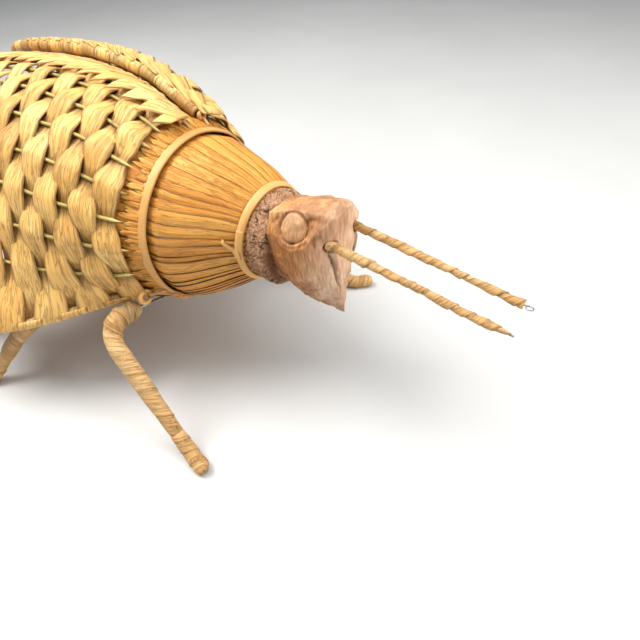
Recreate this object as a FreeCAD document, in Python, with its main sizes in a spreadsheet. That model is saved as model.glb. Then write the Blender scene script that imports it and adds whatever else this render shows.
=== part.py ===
import FreeCAD, Part
import Sketcher
import os
from math import acos, cos, pi, radians, sin, sqrt

# A large standing insect: a carved wooden head on a hollow body of palm leaf blades over a cane cage,
# two woven wings lashed to the thorax hoop, two wire antennae and six wrapped wire legs.
#
# Every body is drawn in its own frame: X runs forward along the body's axis from the rear of the
# thorax hoop's front edge, Y to the insect's left and Z up. Its Placement lifts that axis to
# axis_height and slides it forward, so that the whole insect stands on Z = 0 with its bounding box
# centred on the Z axis.

# Driving dimensions: (alias, value in mm, degrees or pieces, what it is)
DIMENSIONS = [
    ("axis_height", 128.0, "body axis above the ground"),
    ("shift_forward", 29.4, "hoop ahead of the middle of the whole insect"),
    ("hoop_radius", 60.0, "front edge of the thorax hoop"),
    ("hoop_width", 6.5, "cane band of the thorax hoop"),
    ("band_thickness", 1.3, "cane bands"),
    ("neck_front", 56.4, "front edge of the neck band"),
    ("neck_width", 6.0, "neck band"),
    ("neck_radius", 30.6, "front edge of the neck band"),
    ("neck_flare", 4.0, "how much wider the neck band is at its rear edge"),
    ("neck_reach", 1.0, "thorax blades ahead of the neck band"),
    ("neck_dip", 0.7, "fall of the thorax blades under the neck band"),
    ("thorax_bulge", 187.0, "arc of the thorax from hoop to neck"),
    ("belly_back", 110.0, "widest station of the body behind the hoop"),
    ("belly_radius", 79.4, "body at its widest"),
    ("tail_back", 255.0, "start of the tail behind the hoop"),
    ("tail_radius", 18.0, "body at the start of the tail"),
    ("bound_start", 263.0, "front of the bound tail behind the hoop"),
    ("bound_radius", 9.5, "blades where the tail is bound"),
    ("tuft_start", 271.0, "rear of the bound tail"),
    ("tuft_end", 278.0, "tips of the tail tuft"),
    ("tuft_radius", 12.0, "tips of the tail tuft"),
    ("tail_band_width", 6.0, "cane band round the tail"),
    ("tail_band_set", 1.0, "tail band behind the front of the bound tail"),
    ("leaf_thickness", 1.2, "palm leaf blade"),
    ("lap_gap", 0.05, "play between laid pieces"),
    ("collar_length", 18.0, "thorax blades behind the hoop"),
    ("blade_count", 36.0, "blades round the thorax and round the abdomen"),
    ("blade_gap", 0.6, "gap between blades, degrees"),
    ("cage_rod", 3.0, "cane of the inner cage, diameter"),
    ("cage_gap", 0.4, "play between cage and blades"),
    ("rib_count", 8.0, "ribs of the inner cage"),
    ("rib_width", 3.0, "angle that a rib takes, degrees"),
    ("rib_thickness", 2.4, "rib of the inner cage"),
    ("rib_start", 6.0, "front of the ribs behind the hoop"),
    ("rib_end", 235.0, "rear of the ribs behind the hoop"),
    ("head_back", 70.0, "rear face of the carved head"),
    ("head_length", 42.0, "carved head, rear to front face"),
    ("head_width", 59.0, "carved head at the eyes"),
    ("crown_height", 41.5, "crown above the body axis"),
    ("chin_drop", 42.0, "chin below the body axis"),
    ("tenon_radius", 26.0, "plug of the head inside the thorax blades"),
    ("tenon_back", 44.0, "rear end of the plug"),
    ("bark_radius", 31.0, "bark sleeve at the head"),
    ("bark_front_radius", 29.5, "bark sleeve at the neck band"),
    ("bark_back", 58.5, "rear edge of the bark sleeve"),
    ("antenna_length", 106.0, "antenna outside the head"),
    ("antenna_radius", 2.6, "wrapped antenna at its root"),
    ("antenna_tip_radius", 1.9, "wrapped antenna at its tip"),
    ("antenna_wire", 0.65, "antenna wire, radius"),
    ("antenna_stub", 3.0, "bare wire at the antenna's tip"),
    ("antenna_socket", 10.0, "wire inside the head"),
    ("antenna_stand", 1.0, "play between an antenna's husk and the face"),
    ("antenna_spread", 13.3, "antenna root from the middle plane"),
    ("antenna_height", 19.0, "antenna root above the body axis"),
    ("antenna_droop", 10.8, "antenna below horizontal, degrees"),
    ("leg_wire", 1.2, "leg wire, radius"),
    ("leg_hole_play", 0.2, "play round a leg wire where it crosses a blade"),
    ("thigh_bare", 0.42, "bare wire at the root, before the thigh husk, part of the thigh"),
    ("leg_radius", 6.5, "wrapped thigh and knee"),
    ("shin_radius", 6.2, "wrapped shin at the middle"),
    ("ankle_radius", 4.6, "wrapped ankle"),
    ("foot_radius", 5.8, "foot wrap at the heel"),
    ("toe_radius", 5.6, "open end of the foot wrap"),
    ("ankle_rise", 0.14, "ankle up the shin, as a part of its length"),
    ("wing_front", 15.0, "front edge of a wing behind the hoop"),
    ("wing_corner", 12.0, "upper front corner of a wing behind the hoop"),
    ("wing_front_radius", 67.5, "front edge of a wing from the body axis"),
    ("wing_belly_radius", 87.4, "wing over the widest station"),
    ("wing_slope", 42.0, "length of the front slope of a wing"),
    ("wing_back_arc", 600.0, "fall of the wing behind the widest station"),
    ("rim_angle_front", -29.0, "lower rim at the front, degrees above horizontal"),
    ("rim_angle_wide", -20.0, "lower rim at the widest, degrees above horizontal"),
    ("rim_front_radius", 67.0, "lower rim at the front, from the body axis"),
    ("rim_wide_radius", 150.0, "lower rim at the widest, from the body axis"),
    ("rim_wide_back", 150.0, "where a wing is widest, behind the hoop"),
    ("rounding_back", 160.0, "where a wing's rear starts to round"),
    ("wing_tip_back", 256.0, "rear tip of a wing behind the hoop"),
    ("wing_tip_angle", 35.0, "rear tip of a wing, degrees above horizontal"),
    ("flare_power", 8.0, "how late the flare of a wing begins across it"),
    ("rim_power", 1.3, "how late the lower rim leaves the body along it"),
    ("rim_rod", 2.0, "rim rod, radius"),
    ("rim_wrap", 3.4, "rim rod with its husk wrap, radius"),
    ("eye_ring", 4.6, "tied eye at the end of the rim rod, middle radius"),
    ("eye_wire", 1.3, "tied eye, radius of its ring"),
    ("wing_clearance", 0.6, "play between a wing's eyes and the collar"),
    ("lashing_radius", 0.8, "cord of a lashing"),
    ("lashing_rise", 1.36, "front end of a lashing above the hoop's front edge"),
    ("lashing_set", 1.0, "front end of a lashing behind the hoop's front edge"),
    ("stake_radius", 1.1, "lengthwise stake of the weave"),
    ("stake_count", 8.0, "stakes in a wing"),
    ("stake_spread", 1.35, "how much wider the stakes stand towards the lower rim"),
    ("stake_front", 9.0, "sharpened front tips behind the hoop"),
    ("stake_end", 236.0, "rear ends of the longest stakes behind the hoop"),
    ("stake_play", 0.5, "play between a stake's rear end and the wrapped rim"),
    ("strip_count", 17.0, "husk strips across a wing"),
    ("strip_first", 22.0, "middle of the first strip behind the hoop"),
    ("strip_pitch", 12.8, "from strip to strip"),
    ("strip_width", 12.2, "strip where it crosses a stake"),
    ("strip_pinch", 8.5, "strip half way between two stakes"),
    ("strip_thickness", 0.7, "husk strip"),
    ("weave_play", 0.58, "play between a strip and the stake that it crosses"),
]

# Hoops of the inner cage behind the thorax hoop
CAGE_STATIONS = (42.0, 95.0, 150.0, 205.0)

# Carved head, cut by hand and so not quite even: outlines at three shares of its length. Each runs
# from the crown down the left side to the chin and up the right side, as (share of the half width,
# share of the crown's height or the chin's drop).
HEAD_SECTIONS = [
    (0.0, [
        (0.0, 0.81), (0.51, 0.69), (0.81, 0.39), (0.78, -0.10), (0.47, -0.48),
        (-0.07, -0.76), (-0.54, -0.31), (-0.71, 0.10), (-0.81, 0.53), (-0.61, 0.83),
    ]),
    (0.52, [
        (0.0, 0.98), (0.54, 0.78), (0.93, 0.48), (0.92, -0.05), (0.51, -0.57),
        (-0.10, -0.95), (-0.61, -0.52), (-0.92, -0.05), (-1.0, 0.51), (-0.59, 0.96),
    ]),
    (1.0, [
        (0.0, 1.0), (0.29, 0.94), (0.56, 0.65), (0.49, 0.12), (0.24, -0.43),
        (-0.07, -1.0), (-0.31, -0.57), (-0.54, 0.07), (-0.68, 0.58), (-0.37, 0.93),
    ]),
]

# Legs: root on the body, knee, heel and toe, as (forward, outward, above ground)
LEGS = {
    "front_right": [(-20, 44, 78), (-28, 94, 88), (44, 109, 5.5), (62, 115, 5.5)],
    "front_left": [(-20, 44, 78), (-28, 94, 88), (52, 114, 5.5), (68, 128, 5.5)],
    "middle_right": [(-66, 52, 70), (-116, 104, 60), (-152, 140, 5.5), (-164, 154, 5.5)],
    "middle_left": [(-66, 52, 70), (-116, 104, 60), (-152, 140, 5.5), (-164, 154, 5.5)],
    "hind_right": [(-124, 52, 66), (-186, 90, 64), (-232, 116, 5.5), (-246, 127, 5.5)],
    "hind_left": [(-124, 52, 66), (-186, 90, 64), (-232, 116, 5.5), (-246, 127, 5.5)],
}

# Wings: +1 is the insect's left. The inner edge runs outward of the middle plane by seam_front at
# the upper front corner and by seam_back at the end of the front slope. Over the same slope the
# wing rises off the body by rise.
WINGS = {
    "right": {"side": -1, "seam_front": -6.0, "seam_back": -12.0, "rise": 0.0},
    "left": {"side": 1, "seam_front": 24.0, "seam_back": 20.5, "rise": 8.0},
}

# Stations behind the hoop that the rim rod passes through along its lower and its inner run, and
# the steps of its turn round the rear tip, in degrees
RIM_LOWER = (24, 32, 44, 58, 80, 106, 134)
RIM_INNER = (130, 102, 76, 54, 36, 22)
RIM_TURN = (20, 40, 57, 72, 84)

# How finely curved runs are drawn
STAKE_STEPS = 20  # along a stake
STRIP_STEPS = 4  # along a husk strip between two stakes
ACROSS_STEP = 0.01  # share of a wing's width over which its slope is read
ALONG_STEP = 1.0  # mm along a wing over which its slope is read

# Block that trims the feet flat on the ground
GROUND_REACH = 450.0
GROUND_DEPTH = 20.0

doc = FreeCAD.newDocument("woven_insect")
sheet = doc.addObject("Spreadsheet::Sheet", "sheet")
for row, (alias, number, meaning) in enumerate(DIMENSIONS, start=1):
    sheet.set(f"A{row}", str(number))
    sheet.setAlias(f"A{row}", alias)
    sheet.set(f"B{row}", meaning)
doc.recompute()

finished = []  # objects that are sub-parts, in the order they are made


def size(alias):
    """A driving dimension, read from the sheet."""
    return float(getattr(sheet, alias))


def vector(x, y, z):
    return FreeCAD.Vector(x, y, z)


def place_of_body():
    """Where the body axis frame stands in the insect's own frame."""
    return FreeCAD.Placement(vector(size("shift_forward"), 0, size("axis_height")), FreeCAD.Rotation())


def finish(item, label):
    """Names a finished sub-part, places it and keeps it for export."""
    item.Label = label
    item.Placement = place_of_body()
    finished.append(item)
    return item


# ---------------------------------------------------------------- sketches


def new_body(name):
    body = doc.addObject("PartDesign::Body", name)
    body.AllowCompound = True
    return body


def new_sketch(body, name, role, offset=0.0):
    """A sketch on one of the body's own origin planes, moved along the plane's normal."""
    sketch = body.newObject("Sketcher::SketchObject", name)
    plane = [f for f in body.Origin.OriginFeatures if f.Role == role][0]
    sketch.AttachmentSupport = [(plane, "")]
    sketch.MapMode = "FlatFace"
    sketch.AttachmentOffset = FreeCAD.Placement(vector(0, 0, offset), FreeCAD.Rotation())
    return sketch


def arc_between(start, end, radius):
    """The upper one of the two short arcs between two points of a sketch."""
    middle = (start + end) * 0.5
    half = (end - start) * 0.5
    rise = sqrt(radius**2 - half.Length**2)
    across = vector(half.y, -half.x, 0).normalize()
    if across.y > 0:
        across = across * -1
    centre = middle + across * rise
    circle = Part.Circle(centre, vector(0, 0, 1), radius)
    first, last = circle.parameter(start), circle.parameter(end)
    if start.x > end.x:
        return Part.ArcOfCircle(circle, first, last), False
    return Part.ArcOfCircle(circle, last, first), True


def outline(sketch, corners, arcs=None):
    """Draws a closed outline. Each corner is a pair of expressions on the sheet, and arcs gives
    the expression of the radius of the edge that starts at that corner."""
    arcs = arcs or {}
    points = [vector(sketch.evalExpression(x), sketch.evalExpression(y), 0) for x, y in corners]
    count = len(corners)
    starts = {}
    ends = {}
    for i, start in enumerate(points):
        end = points[(i + 1) % count]
        starts[i], ends[i] = 1, 2
        if i in arcs:
            arc, turned = arc_between(start, end, sketch.evalExpression(arcs[i]))
            sketch.addGeometry(arc, False)
            if turned:
                starts[i], ends[i] = 2, 1
        else:
            sketch.addGeometry(Part.LineSegment(start, end), False)
    for i in range(count):
        after = (i + 1) % count
        sketch.addConstraint(Sketcher.Constraint("Coincident", i, ends[i], after, starts[after]))
    for i, (x, y) in enumerate(corners):
        for kind, expression, now in (("DistanceX", x, points[i].x), ("DistanceY", y, points[i].y)):
            key = sketch.addConstraint(Sketcher.Constraint(kind, -1, 1, i, starts[i], now))
            sketch.setExpression(f"Constraints[{key}]", expression)
    for i, expression in arcs.items():
        now = sketch.evalExpression(expression)
        key = sketch.addConstraint(Sketcher.Constraint("Radius", i, now))
        sketch.setExpression(f"Constraints[{key}]", expression)


def revolve(body, sketch, angle):
    feature = body.newObject("PartDesign::Revolution", "turned")
    feature.Profile = sketch
    feature.ReferenceAxis = (sketch, ["H_Axis"])
    feature.setExpression("Angle", angle)
    body.Tip = feature
    return feature


def repeat_round(body, feature, sketch, count):
    pattern = body.newObject("PartDesign::PolarPattern", "repeated")
    pattern.Originals = [feature]
    pattern.Axis = (sketch, ["H_Axis"])
    pattern.Angle = 360
    pattern.setExpression("Occurrences", count)
    body.Tip = pattern
    return pattern


def turned_piece(name, corners, arcs=None, angle="360", count=None):
    """A piece turned about the body axis, or a ring of equal slices of it."""
    body = new_body(name)
    sketch = new_sketch(body, "profile", "XZ_Plane")
    outline(sketch, corners, arcs)
    feature = revolve(body, sketch, angle)
    if count:
        repeat_round(body, feature, sketch, count)
    return body


# ---------------------------------------------------------------- body profile

# Radius of the abdomen blades' outer face at the hoop, and the arcs fore and aft of the belly
WAIST = "(sheet.hoop_radius - sheet.band_thickness - sheet.leaf_thickness - 2 * sheet.lap_gap)"
BELLY_RISE = f"(sheet.belly_radius - {WAIST})"
BELLY_ARC = f"((sheet.belly_back^2 + {BELLY_RISE}^2) / (2 * {BELLY_RISE}))"
TAIL_ARC = (
    "((sheet.tail_back - sheet.belly_back)^2 + (sheet.belly_radius - sheet.tail_radius)^2)"
    " / (2 * (sheet.belly_radius - sheet.tail_radius))"
)
BLADE_ANGLE = "360 / sheet.blade_count - sheet.blade_gap"


def belly_height(back):
    """Expression of the abdomen's radius a distance behind the hoop, ahead of the belly."""
    return f"(sheet.belly_radius - {BELLY_ARC} + sqrt({BELLY_ARC}^2 - (sheet.belly_back - {back})^2))"


def tail_height(back):
    """Expression of the abdomen's radius a distance behind the hoop, behind the belly."""
    return f"(sheet.belly_radius - ({TAIL_ARC}) + sqrt(({TAIL_ARC})^2 - ({back} - sheet.belly_back)^2))"


def leaf_outline(corners, arcs, thickness="sheet.leaf_thickness"):
    """A thin outline under a run of corners, closed by the same run set lower by the thickness."""
    last = len(corners) - 1
    below = [(x, f"({y}) - {thickness}") for x, y in reversed(corners)]
    both = dict(arcs)
    for edge, radius in arcs.items():
        both[2 * last - edge] = radius
    return corners + below, both


def make_abdomen_blades():
    run = [
        ("0", WAIST),
        ("-sheet.belly_back", "sheet.belly_radius"),
        ("-sheet.tail_back", "sheet.tail_radius"),
        ("-sheet.bound_start", "sheet.bound_radius"),
        ("-sheet.tuft_start", "sheet.bound_radius"),
        ("-sheet.tuft_end", "sheet.tuft_radius"),
    ]
    corners, arcs = leaf_outline(run, {0: BELLY_ARC, 1: TAIL_ARC})
    ring = turned_piece("blade_ring", corners, arcs, BLADE_ANGLE, "sheet.blade_count")
    holes = []
    for number, name in enumerate(("front_right", "middle_right", "hind_right")):
        holes.append(leg_hole(name, number))
    drilled = doc.addObject("Part::MultiFuse", "leg_holes")
    drilled.Shapes = holes
    blades = doc.addObject("Part::Cut", "abdomen_blades")
    blades.Base = ring
    blades.Tool = drilled
    return finish(blades, "abdomen_blades")


def leg_hole(leg, number):
    """A way for one leg wire straight across the body."""
    root = leg_points(leg)[0]
    hole = doc.addObject("Part::Cylinder", f"leg_hole_{number}")
    hole.setExpression("Radius", "sheet.leg_wire + sheet.leg_hole_play")
    hole.setExpression("Height", "2 * sheet.belly_radius")
    turn = FreeCAD.Rotation(vector(1, 0, 0), 90)
    hole.Placement = FreeCAD.Placement(vector(root.x, size("belly_radius"), root.z), turn)
    return hole


def make_thorax_blades():
    over = "+ sheet.lap_gap + sheet.leaf_thickness"
    under_band = "sheet.neck_radius - sheet.band_thickness - sheet.lap_gap"
    run = [
        ("sheet.neck_front + sheet.neck_reach", f"{under_band} - sheet.neck_dip"),
        ("sheet.neck_front - sheet.neck_width", f"{under_band} + sheet.neck_flare"),
        ("0", f"{WAIST} {over}"),
        ("-sheet.collar_length", f"{belly_height('sheet.collar_length')} {over}"),
    ]
    corners, arcs = leaf_outline(run, {1: "sheet.thorax_bulge", 2: BELLY_ARC})
    ring = turned_piece("thorax_blades", corners, arcs, BLADE_ANGLE, "sheet.blade_count")
    return finish(ring, "thorax_blades")


def make_thorax_hoop():
    over = "+ 2 * sheet.lap_gap + sheet.leaf_thickness"
    rear = belly_height("sheet.hoop_width")
    corners = [
        ("0", f"{WAIST} {over}"),
        ("0", f"{WAIST} {over} + sheet.band_thickness"),
        ("-sheet.hoop_width", f"{rear} {over} + sheet.band_thickness"),
        ("-sheet.hoop_width", f"{rear} {over}"),
    ]
    return finish(turned_piece("thorax_hoop", corners), "thorax_hoop")


def make_neck_band():
    rear = "sheet.neck_front - sheet.neck_width"
    corners = [
        ("sheet.neck_front", "sheet.neck_radius"),
        (rear, "sheet.neck_radius + sheet.neck_flare"),
        (rear, "sheet.neck_radius + sheet.neck_flare - sheet.band_thickness"),
        ("sheet.neck_front", "sheet.neck_radius - sheet.band_thickness"),
    ]
    return finish(turned_piece("neck_band", corners), "neck_band")


def make_tail_band():
    front = "-sheet.bound_start - sheet.tail_band_set"
    rear = f"{front} - sheet.tail_band_width"
    inside = "sheet.bound_radius + sheet.lap_gap"
    corners = [
        (front, inside),
        (front, f"{inside} + sheet.band_thickness"),
        (rear, f"{inside} + sheet.band_thickness"),
        (rear, inside),
    ]
    return finish(turned_piece("tail_band", corners), "tail_band")


# ---------------------------------------------------------------- inner cage


def body_radius(back):
    """Outer radius of the abdomen blades a distance behind the hoop, as a number."""
    height = belly_height(back) if back < size("belly_back") else tail_height(back)
    return sheet.evalExpression(height)


def make_cage_hoops():
    body = new_body("cage_hoops")
    sketch = new_sketch(body, "profile", "XZ_Plane")
    for back in CAGE_STATIONS:
        height = belly_height(back) if back < size("belly_back") else tail_height(back)
        middle = f"{height} - sheet.leaf_thickness - sheet.cage_gap - sheet.cage_rod / 2"
        centre = vector(-back, sketch.evalExpression(middle), 0)
        edge = sketch.addGeometry(Part.Circle(centre, vector(0, 0, 1), size("cage_rod") / 2), False)
        sketch.addConstraint(Sketcher.Constraint("DistanceX", -1, 1, edge, 3, -back))
        key = sketch.addConstraint(Sketcher.Constraint("DistanceY", -1, 1, edge, 3, centre.y))
        sketch.setExpression(f"Constraints[{key}]", middle)
        key = sketch.addConstraint(Sketcher.Constraint("Diameter", edge, size("cage_rod")))
        sketch.setExpression(f"Constraints[{key}]", "sheet.cage_rod")
    revolve(body, sketch, "360")
    return finish(body, "cage_hoops")


def make_cage_ribs():
    under = "- sheet.leaf_thickness - 2 * sheet.cage_gap - sheet.cage_rod"
    run = [
        ("-sheet.rib_start", f"{belly_height('sheet.rib_start')} {under}"),
        ("-sheet.belly_back", f"sheet.belly_radius {under}"),
        ("-sheet.rib_end", f"{tail_height('sheet.rib_end')} {under}"),
    ]
    corners, arcs = leaf_outline(run, {0: BELLY_ARC, 1: TAIL_ARC}, "sheet.rib_thickness")
    ribs = turned_piece("cage_ribs", corners, arcs, "sheet.rib_width", "sheet.rib_count")
    return finish(ribs, "cage_ribs")


# ---------------------------------------------------------------- head and antennae


def head_corners(points):
    """The corners of a head section, as expressions on the sheet."""
    corners = []
    for across, up in points:
        height = "sheet.crown_height" if up > 0 else "sheet.chin_drop"
        corners.append((f"{across} * sheet.head_width / 2", f"{up} * {height}"))
    return corners


def make_head():
    body = new_body("carved_head")
    sections = []
    for share, points in HEAD_SECTIONS:
        sketch = new_sketch(body, "section", "YZ_Plane")
        sketch.setExpression(".AttachmentOffset.Base.z", f"sheet.head_back + {share} * sheet.head_length")
        outline(sketch, head_corners(points))
        sections.append(sketch)
    doc.recompute()
    block = body.newObject("PartDesign::AdditiveLoft", "block")
    block.Profile = sections[0]
    block.Sections = sections[1:]
    block.Ruled = True
    body.Tip = block
    doc.recompute()
    plug = new_sketch(body, "plug_outline", "XZ_Plane")
    corners = [
        ("sheet.tenon_back", "0"),
        ("sheet.tenon_back", "sheet.tenon_radius"),
        ("sheet.head_back", "sheet.tenon_radius"),
        ("sheet.head_back", "0"),
    ]
    outline(plug, corners)
    revolve(body, plug, "360")
    sockets = doc.addObject("Part::MultiFuse", "antenna_sockets")
    sockets.Shapes = [antenna_rod(side, "socket", "sheet.antenna_wire + sheet.lap_gap") for side in (-1, 1)]
    head = doc.addObject("Part::Cut", "head_block")
    head.Base = body
    head.Tool = sockets
    return finish(head, "head_block")


def make_neck_bark():
    inside = "sheet.tenon_radius + sheet.lap_gap"
    corners = [
        ("sheet.head_back - sheet.lap_gap", inside),
        ("sheet.head_back - sheet.lap_gap", "sheet.bark_radius"),
        ("sheet.bark_back", "sheet.bark_front_radius"),
        ("sheet.bark_back", inside),
    ]
    return finish(turned_piece("neck_bark", corners), "neck_bark")


def antenna_place(side, along):
    """A frame on an antenna's axis, its Z along the antenna, a distance out from the head."""
    front = size("head_back") + size("head_length")
    turn = FreeCAD.Rotation(vector(0, 1, 0), 90 + size("antenna_droop"))
    root = vector(front, side * size("antenna_spread"), size("antenna_height"))
    return FreeCAD.Placement(root + turn.multVec(vector(0, 0, along)), turn)


def antenna_rod(side, name, radius):
    """The straight wire of an antenna, from its socket in the head to its bare tip."""
    rod = doc.addObject("Part::Cylinder", name)
    rod.setExpression("Radius", radius)
    rod.setExpression("Height", "sheet.antenna_length + sheet.antenna_socket + sheet.antenna_stub")
    rod.Placement = antenna_place(side, -size("antenna_socket"))
    return rod


def make_antenna(name, side):
    wire = antenna_rod(side, f"{name}_wire", "sheet.antenna_wire")
    wire.Placement = place_of_body() * wire.Placement
    wire.Label = f"{name}_antenna_wire"
    finished.append(wire)
    husk = doc.addObject("Part::Cone", f"{name}_husk")
    husk.setExpression("Radius1", "sheet.antenna_radius")
    husk.setExpression("Radius2", "sheet.antenna_tip_radius")
    husk.setExpression("Height", "sheet.antenna_length")
    husk.Placement = antenna_place(side, size("antenna_stand"))
    bore = antenna_rod(side, f"{name}_bore", "sheet.antenna_wire + sheet.lap_gap")
    wrap = doc.addObject("Part::Cut", f"{name}_wrap")
    wrap.Base = husk
    wrap.Tool = bore
    finish(wrap, f"{name}_antenna_wrap")


# ---------------------------------------------------------------- legs


def leg_points(leg):
    """The corners of a leg's middle line in the body axis frame."""
    side = -1 if leg.endswith("right") else 1
    return [vector(x, side * out, up - size("axis_height")) for x, out, up in LEGS[leg]]


def rod_along(points, radii):
    """A round rod along straight runs, with a ball at each inner corner."""
    pieces = []
    for (a, b), (ra, rb) in zip(zip(points, points[1:]), zip(radii, radii[1:])):
        run = b - a
        if ra == rb:
            pieces.append(Part.makeCylinder(ra, run.Length, a, run))
        else:
            pieces.append(Part.makeCone(ra, rb, run.Length, a, run))
    for corner, radius in list(zip(points, radii))[1:-1]:
        pieces.append(Part.makeSphere(radius, corner))
    return pieces[0].fuse(pieces[1:])


def make_feature(label, shape):
    """A sub-part whose shape is built by Part's own functions from the sheet's sizes."""
    item = doc.addObject("Part::Feature", label)
    item.Shape = shape
    return finish(item, label)


def make_leg_wraps(leg):
    """The thigh and shin wrap, and the foot wrap that ends the leg on the ground."""
    root, knee, heel, toe = leg_points(leg)
    thigh = root + (knee - root) * size("thigh_bare")
    ankle = heel + (knee - heel) * size("ankle_rise")
    middle = (knee + ankle) * 0.5
    clear = size("leg_wire") + size("lap_gap")
    bore = rod_along([root, knee, heel, toe + (toe - heel)], [clear] * 4)
    radii = [size("leg_radius"), size("leg_radius"), size("shin_radius"), size("ankle_radius")]
    upper = rod_along([thigh, knee, middle, ankle], radii)
    make_feature(f"{leg}_leg_wrap", upper.cut(bore))
    lower = rod_along([ankle, heel, toe], [size("ankle_radius"), size("foot_radius"), size("toe_radius")])
    make_feature(f"{leg}_foot_wrap", lower.cut([bore, ground_block()]))


def ground_block():
    """A block whose top is the ground."""
    reach = GROUND_REACH
    corner = vector(-reach, -reach, -size("axis_height") - GROUND_DEPTH)
    return Part.makeBox(2 * reach, 2 * reach, GROUND_DEPTH, corner)


def make_leg_wire(pair):
    """One wire from toe to toe across the body."""
    right = leg_points(f"{pair}_right")
    left = leg_points(f"{pair}_left")
    points = right[::-1] + left
    make_feature(f"{pair}_leg_wire", rod_along(points, [size("leg_wire")] * len(points)))


# ---------------------------------------------------------------- wings


def slope_share(back):
    """How far along the front slope of a wing a station is, eased at both ends, 0 to 1."""
    step = min(max((back - size("wing_corner")) / size("wing_slope"), 0), 1)
    return (1 - cos(pi * step)) / 2


def wing_base(wing, back):
    """Radius of a wing where it lies over the body."""
    belly, widest = size("belly_back"), size("wing_belly_radius")
    lifted = wing["rise"] * slope_share(back)
    if back > belly:
        fall = size("wing_back_arc")
        return lifted + widest - fall + sqrt(fall**2 - (back - belly) ** 2)
    rise = widest - size("wing_front_radius")
    reach = belly - size("wing_front")
    arc = (reach**2 + rise**2) / (2 * rise)
    return lifted + widest - arc + sqrt(arc**2 - (belly - back) ** 2)


def rim_radius(wing, back):
    """Radius of a wing's lower rim from the body axis."""
    front, wide, tip = size("wing_front"), size("rim_wide_back"), size("wing_tip_back")
    if back < wide:
        start = size("rim_front_radius")
        turn = sin(pi / 2 * max(back - front, 0) / (wide - front)) ** size("rim_power")
        return start + (size("rim_wide_radius") - start) * turn
    end = wing_base(wing, tip)
    return end + (size("rim_wide_radius") - end) * sqrt(1 - ((back - wide) / (tip - wide)) ** 2)


def inner_edge(wing, back):
    """How far outward of the middle plane a wing's inner edge runs."""
    return wing["seam_front"] + (wing["seam_back"] - wing["seam_front"]) * slope_share(back)


def wing_point(wing, back, share):
    """A point of a wing's middle surface: back behind the hoop, share from its inner edge (0) to
    its lower rim (1)."""
    base = wing_base(wing, back)
    start = acos(inner_edge(wing, back) / base)
    wide = min(max((back - size("wing_front")) / (size("rim_wide_back") - size("wing_front")), 0), 1)
    end = radians(size("rim_angle_front") + (size("rim_angle_wide") - size("rim_angle_front")) * wide)
    angle = start + (end - start) * share
    rounding = size("rounding_back")
    if back > rounding:
        narrow = sqrt(max(1 - ((back - rounding) / (size("wing_tip_back") - rounding)) ** 2, 0))
        tip = radians(size("wing_tip_angle"))
        angle = tip + (angle - tip) * narrow
    radius = base + (rim_radius(wing, back) - base) * max(share, 0) ** size("flare_power")
    return vector(-back, wing["side"] * radius * cos(angle), radius * sin(angle))


def wing_normal(wing, back, share):
    """The outward direction square to a wing's middle surface."""
    outer, inner = min(share + ACROSS_STEP, 1), max(share - ACROSS_STEP, 0)
    across = wing_point(wing, back, outer) - wing_point(wing, back, inner)
    along = wing_point(wing, back - ALONG_STEP, share) - wing_point(wing, back + ALONG_STEP, share)
    normal = across.cross(along).normalize()
    return normal * -wing["side"]


def wing_lifted(wing, back, share, lift):
    """A point that stands a distance outward from a wing's middle surface."""
    return wing_point(wing, back, share) + wing_normal(wing, back, share) * lift


def smooth_path(points):
    curve = Part.BSplineCurve()
    curve.interpolate(points)
    return Part.Wire([curve.toShape()])


def rod_on(path, radius, bore=0.0):
    """A round rod along a smooth path, or a tube when it has a bore."""
    start = path.Edges[0].Curve
    first = start.FirstParameter
    across = start.tangent(first)[0]
    rings = [Part.Wire([Part.makeCircle(radius, start.value(first), across)])]
    solid = path.makePipeShell(rings, True, True)
    if bore:
        ring = Part.Wire([Part.makeCircle(bore, start.value(first), across)])
        solid = solid.cut(path.makePipeShell([ring], True, True))
    return solid


def rim_points(wing):
    """The rim's middle line: from the lower front eye round the rear tip to the upper corner."""
    rounding, tip = size("rounding_back"), size("wing_tip_back")
    turn = [rounding + (tip - rounding) * sin(radians(step)) for step in RIM_TURN]
    lower = [*RIM_LOWER, rounding, *turn]
    inner = [*turn[::-1], rounding, *RIM_INNER]
    points = [eye_top(wing, 1)] + [wing_point(wing, back, 1) for back in lower]
    points.append(wing_point(wing, tip, 0.5))
    points += [wing_point(wing, back, 0) for back in inner] + [eye_top(wing, 0)]
    return points


def eye_centre(wing, share):
    """Middle of the tied eye at the lower (share 1) or upper (share 0) end of the rim rod. The eye
    stands across the body axis, just clear of the thorax blades' collar."""
    back = size("wing_front") if share else size("wing_corner")
    point = wing_point(wing, back, share)
    collar = body_radius(back) + size("lap_gap") + size("leaf_thickness")
    radius = collar + size("eye_ring") + size("eye_wire") + size("wing_clearance")
    return vector(point.x, 0, 0) + vector(0, point.y, point.z).normalize() * radius


def eye_top(wing, share):
    """Outermost point of a tied eye, where the rim rod joins it."""
    centre = eye_centre(wing, share)
    return centre + vector(0, centre.y, centre.z).normalize() * size("eye_ring")


def make_wing_rim(name, wing):
    path = smooth_path(rim_points(wing))
    rod = rod_on(path, size("rim_rod"))
    centres = [eye_centre(wing, share) for share in (1, 0)]
    rings = [Part.makeTorus(size("eye_ring"), size("eye_wire"), at, vector(1, 0, 0)) for at in centres]
    make_feature(f"{name}_wing_rim", rod.fuse(rings))
    bare = size("eye_ring") + size("eye_wire") + size("rim_wrap")
    tube = rod_on(path, size("rim_wrap"), size("rim_rod") + size("lap_gap"))
    make_feature(f"{name}_wing_rim_wrap", tube.cut([Part.makeSphere(bare, at) for at in centres]))


def stake_shares():
    """Where the stakes stand across a wing, closer together towards its inner edge."""
    gaps = int(size("stake_count")) + 1
    return [(number / gaps) ** size("stake_spread") for number in range(1, gaps)]


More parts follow.
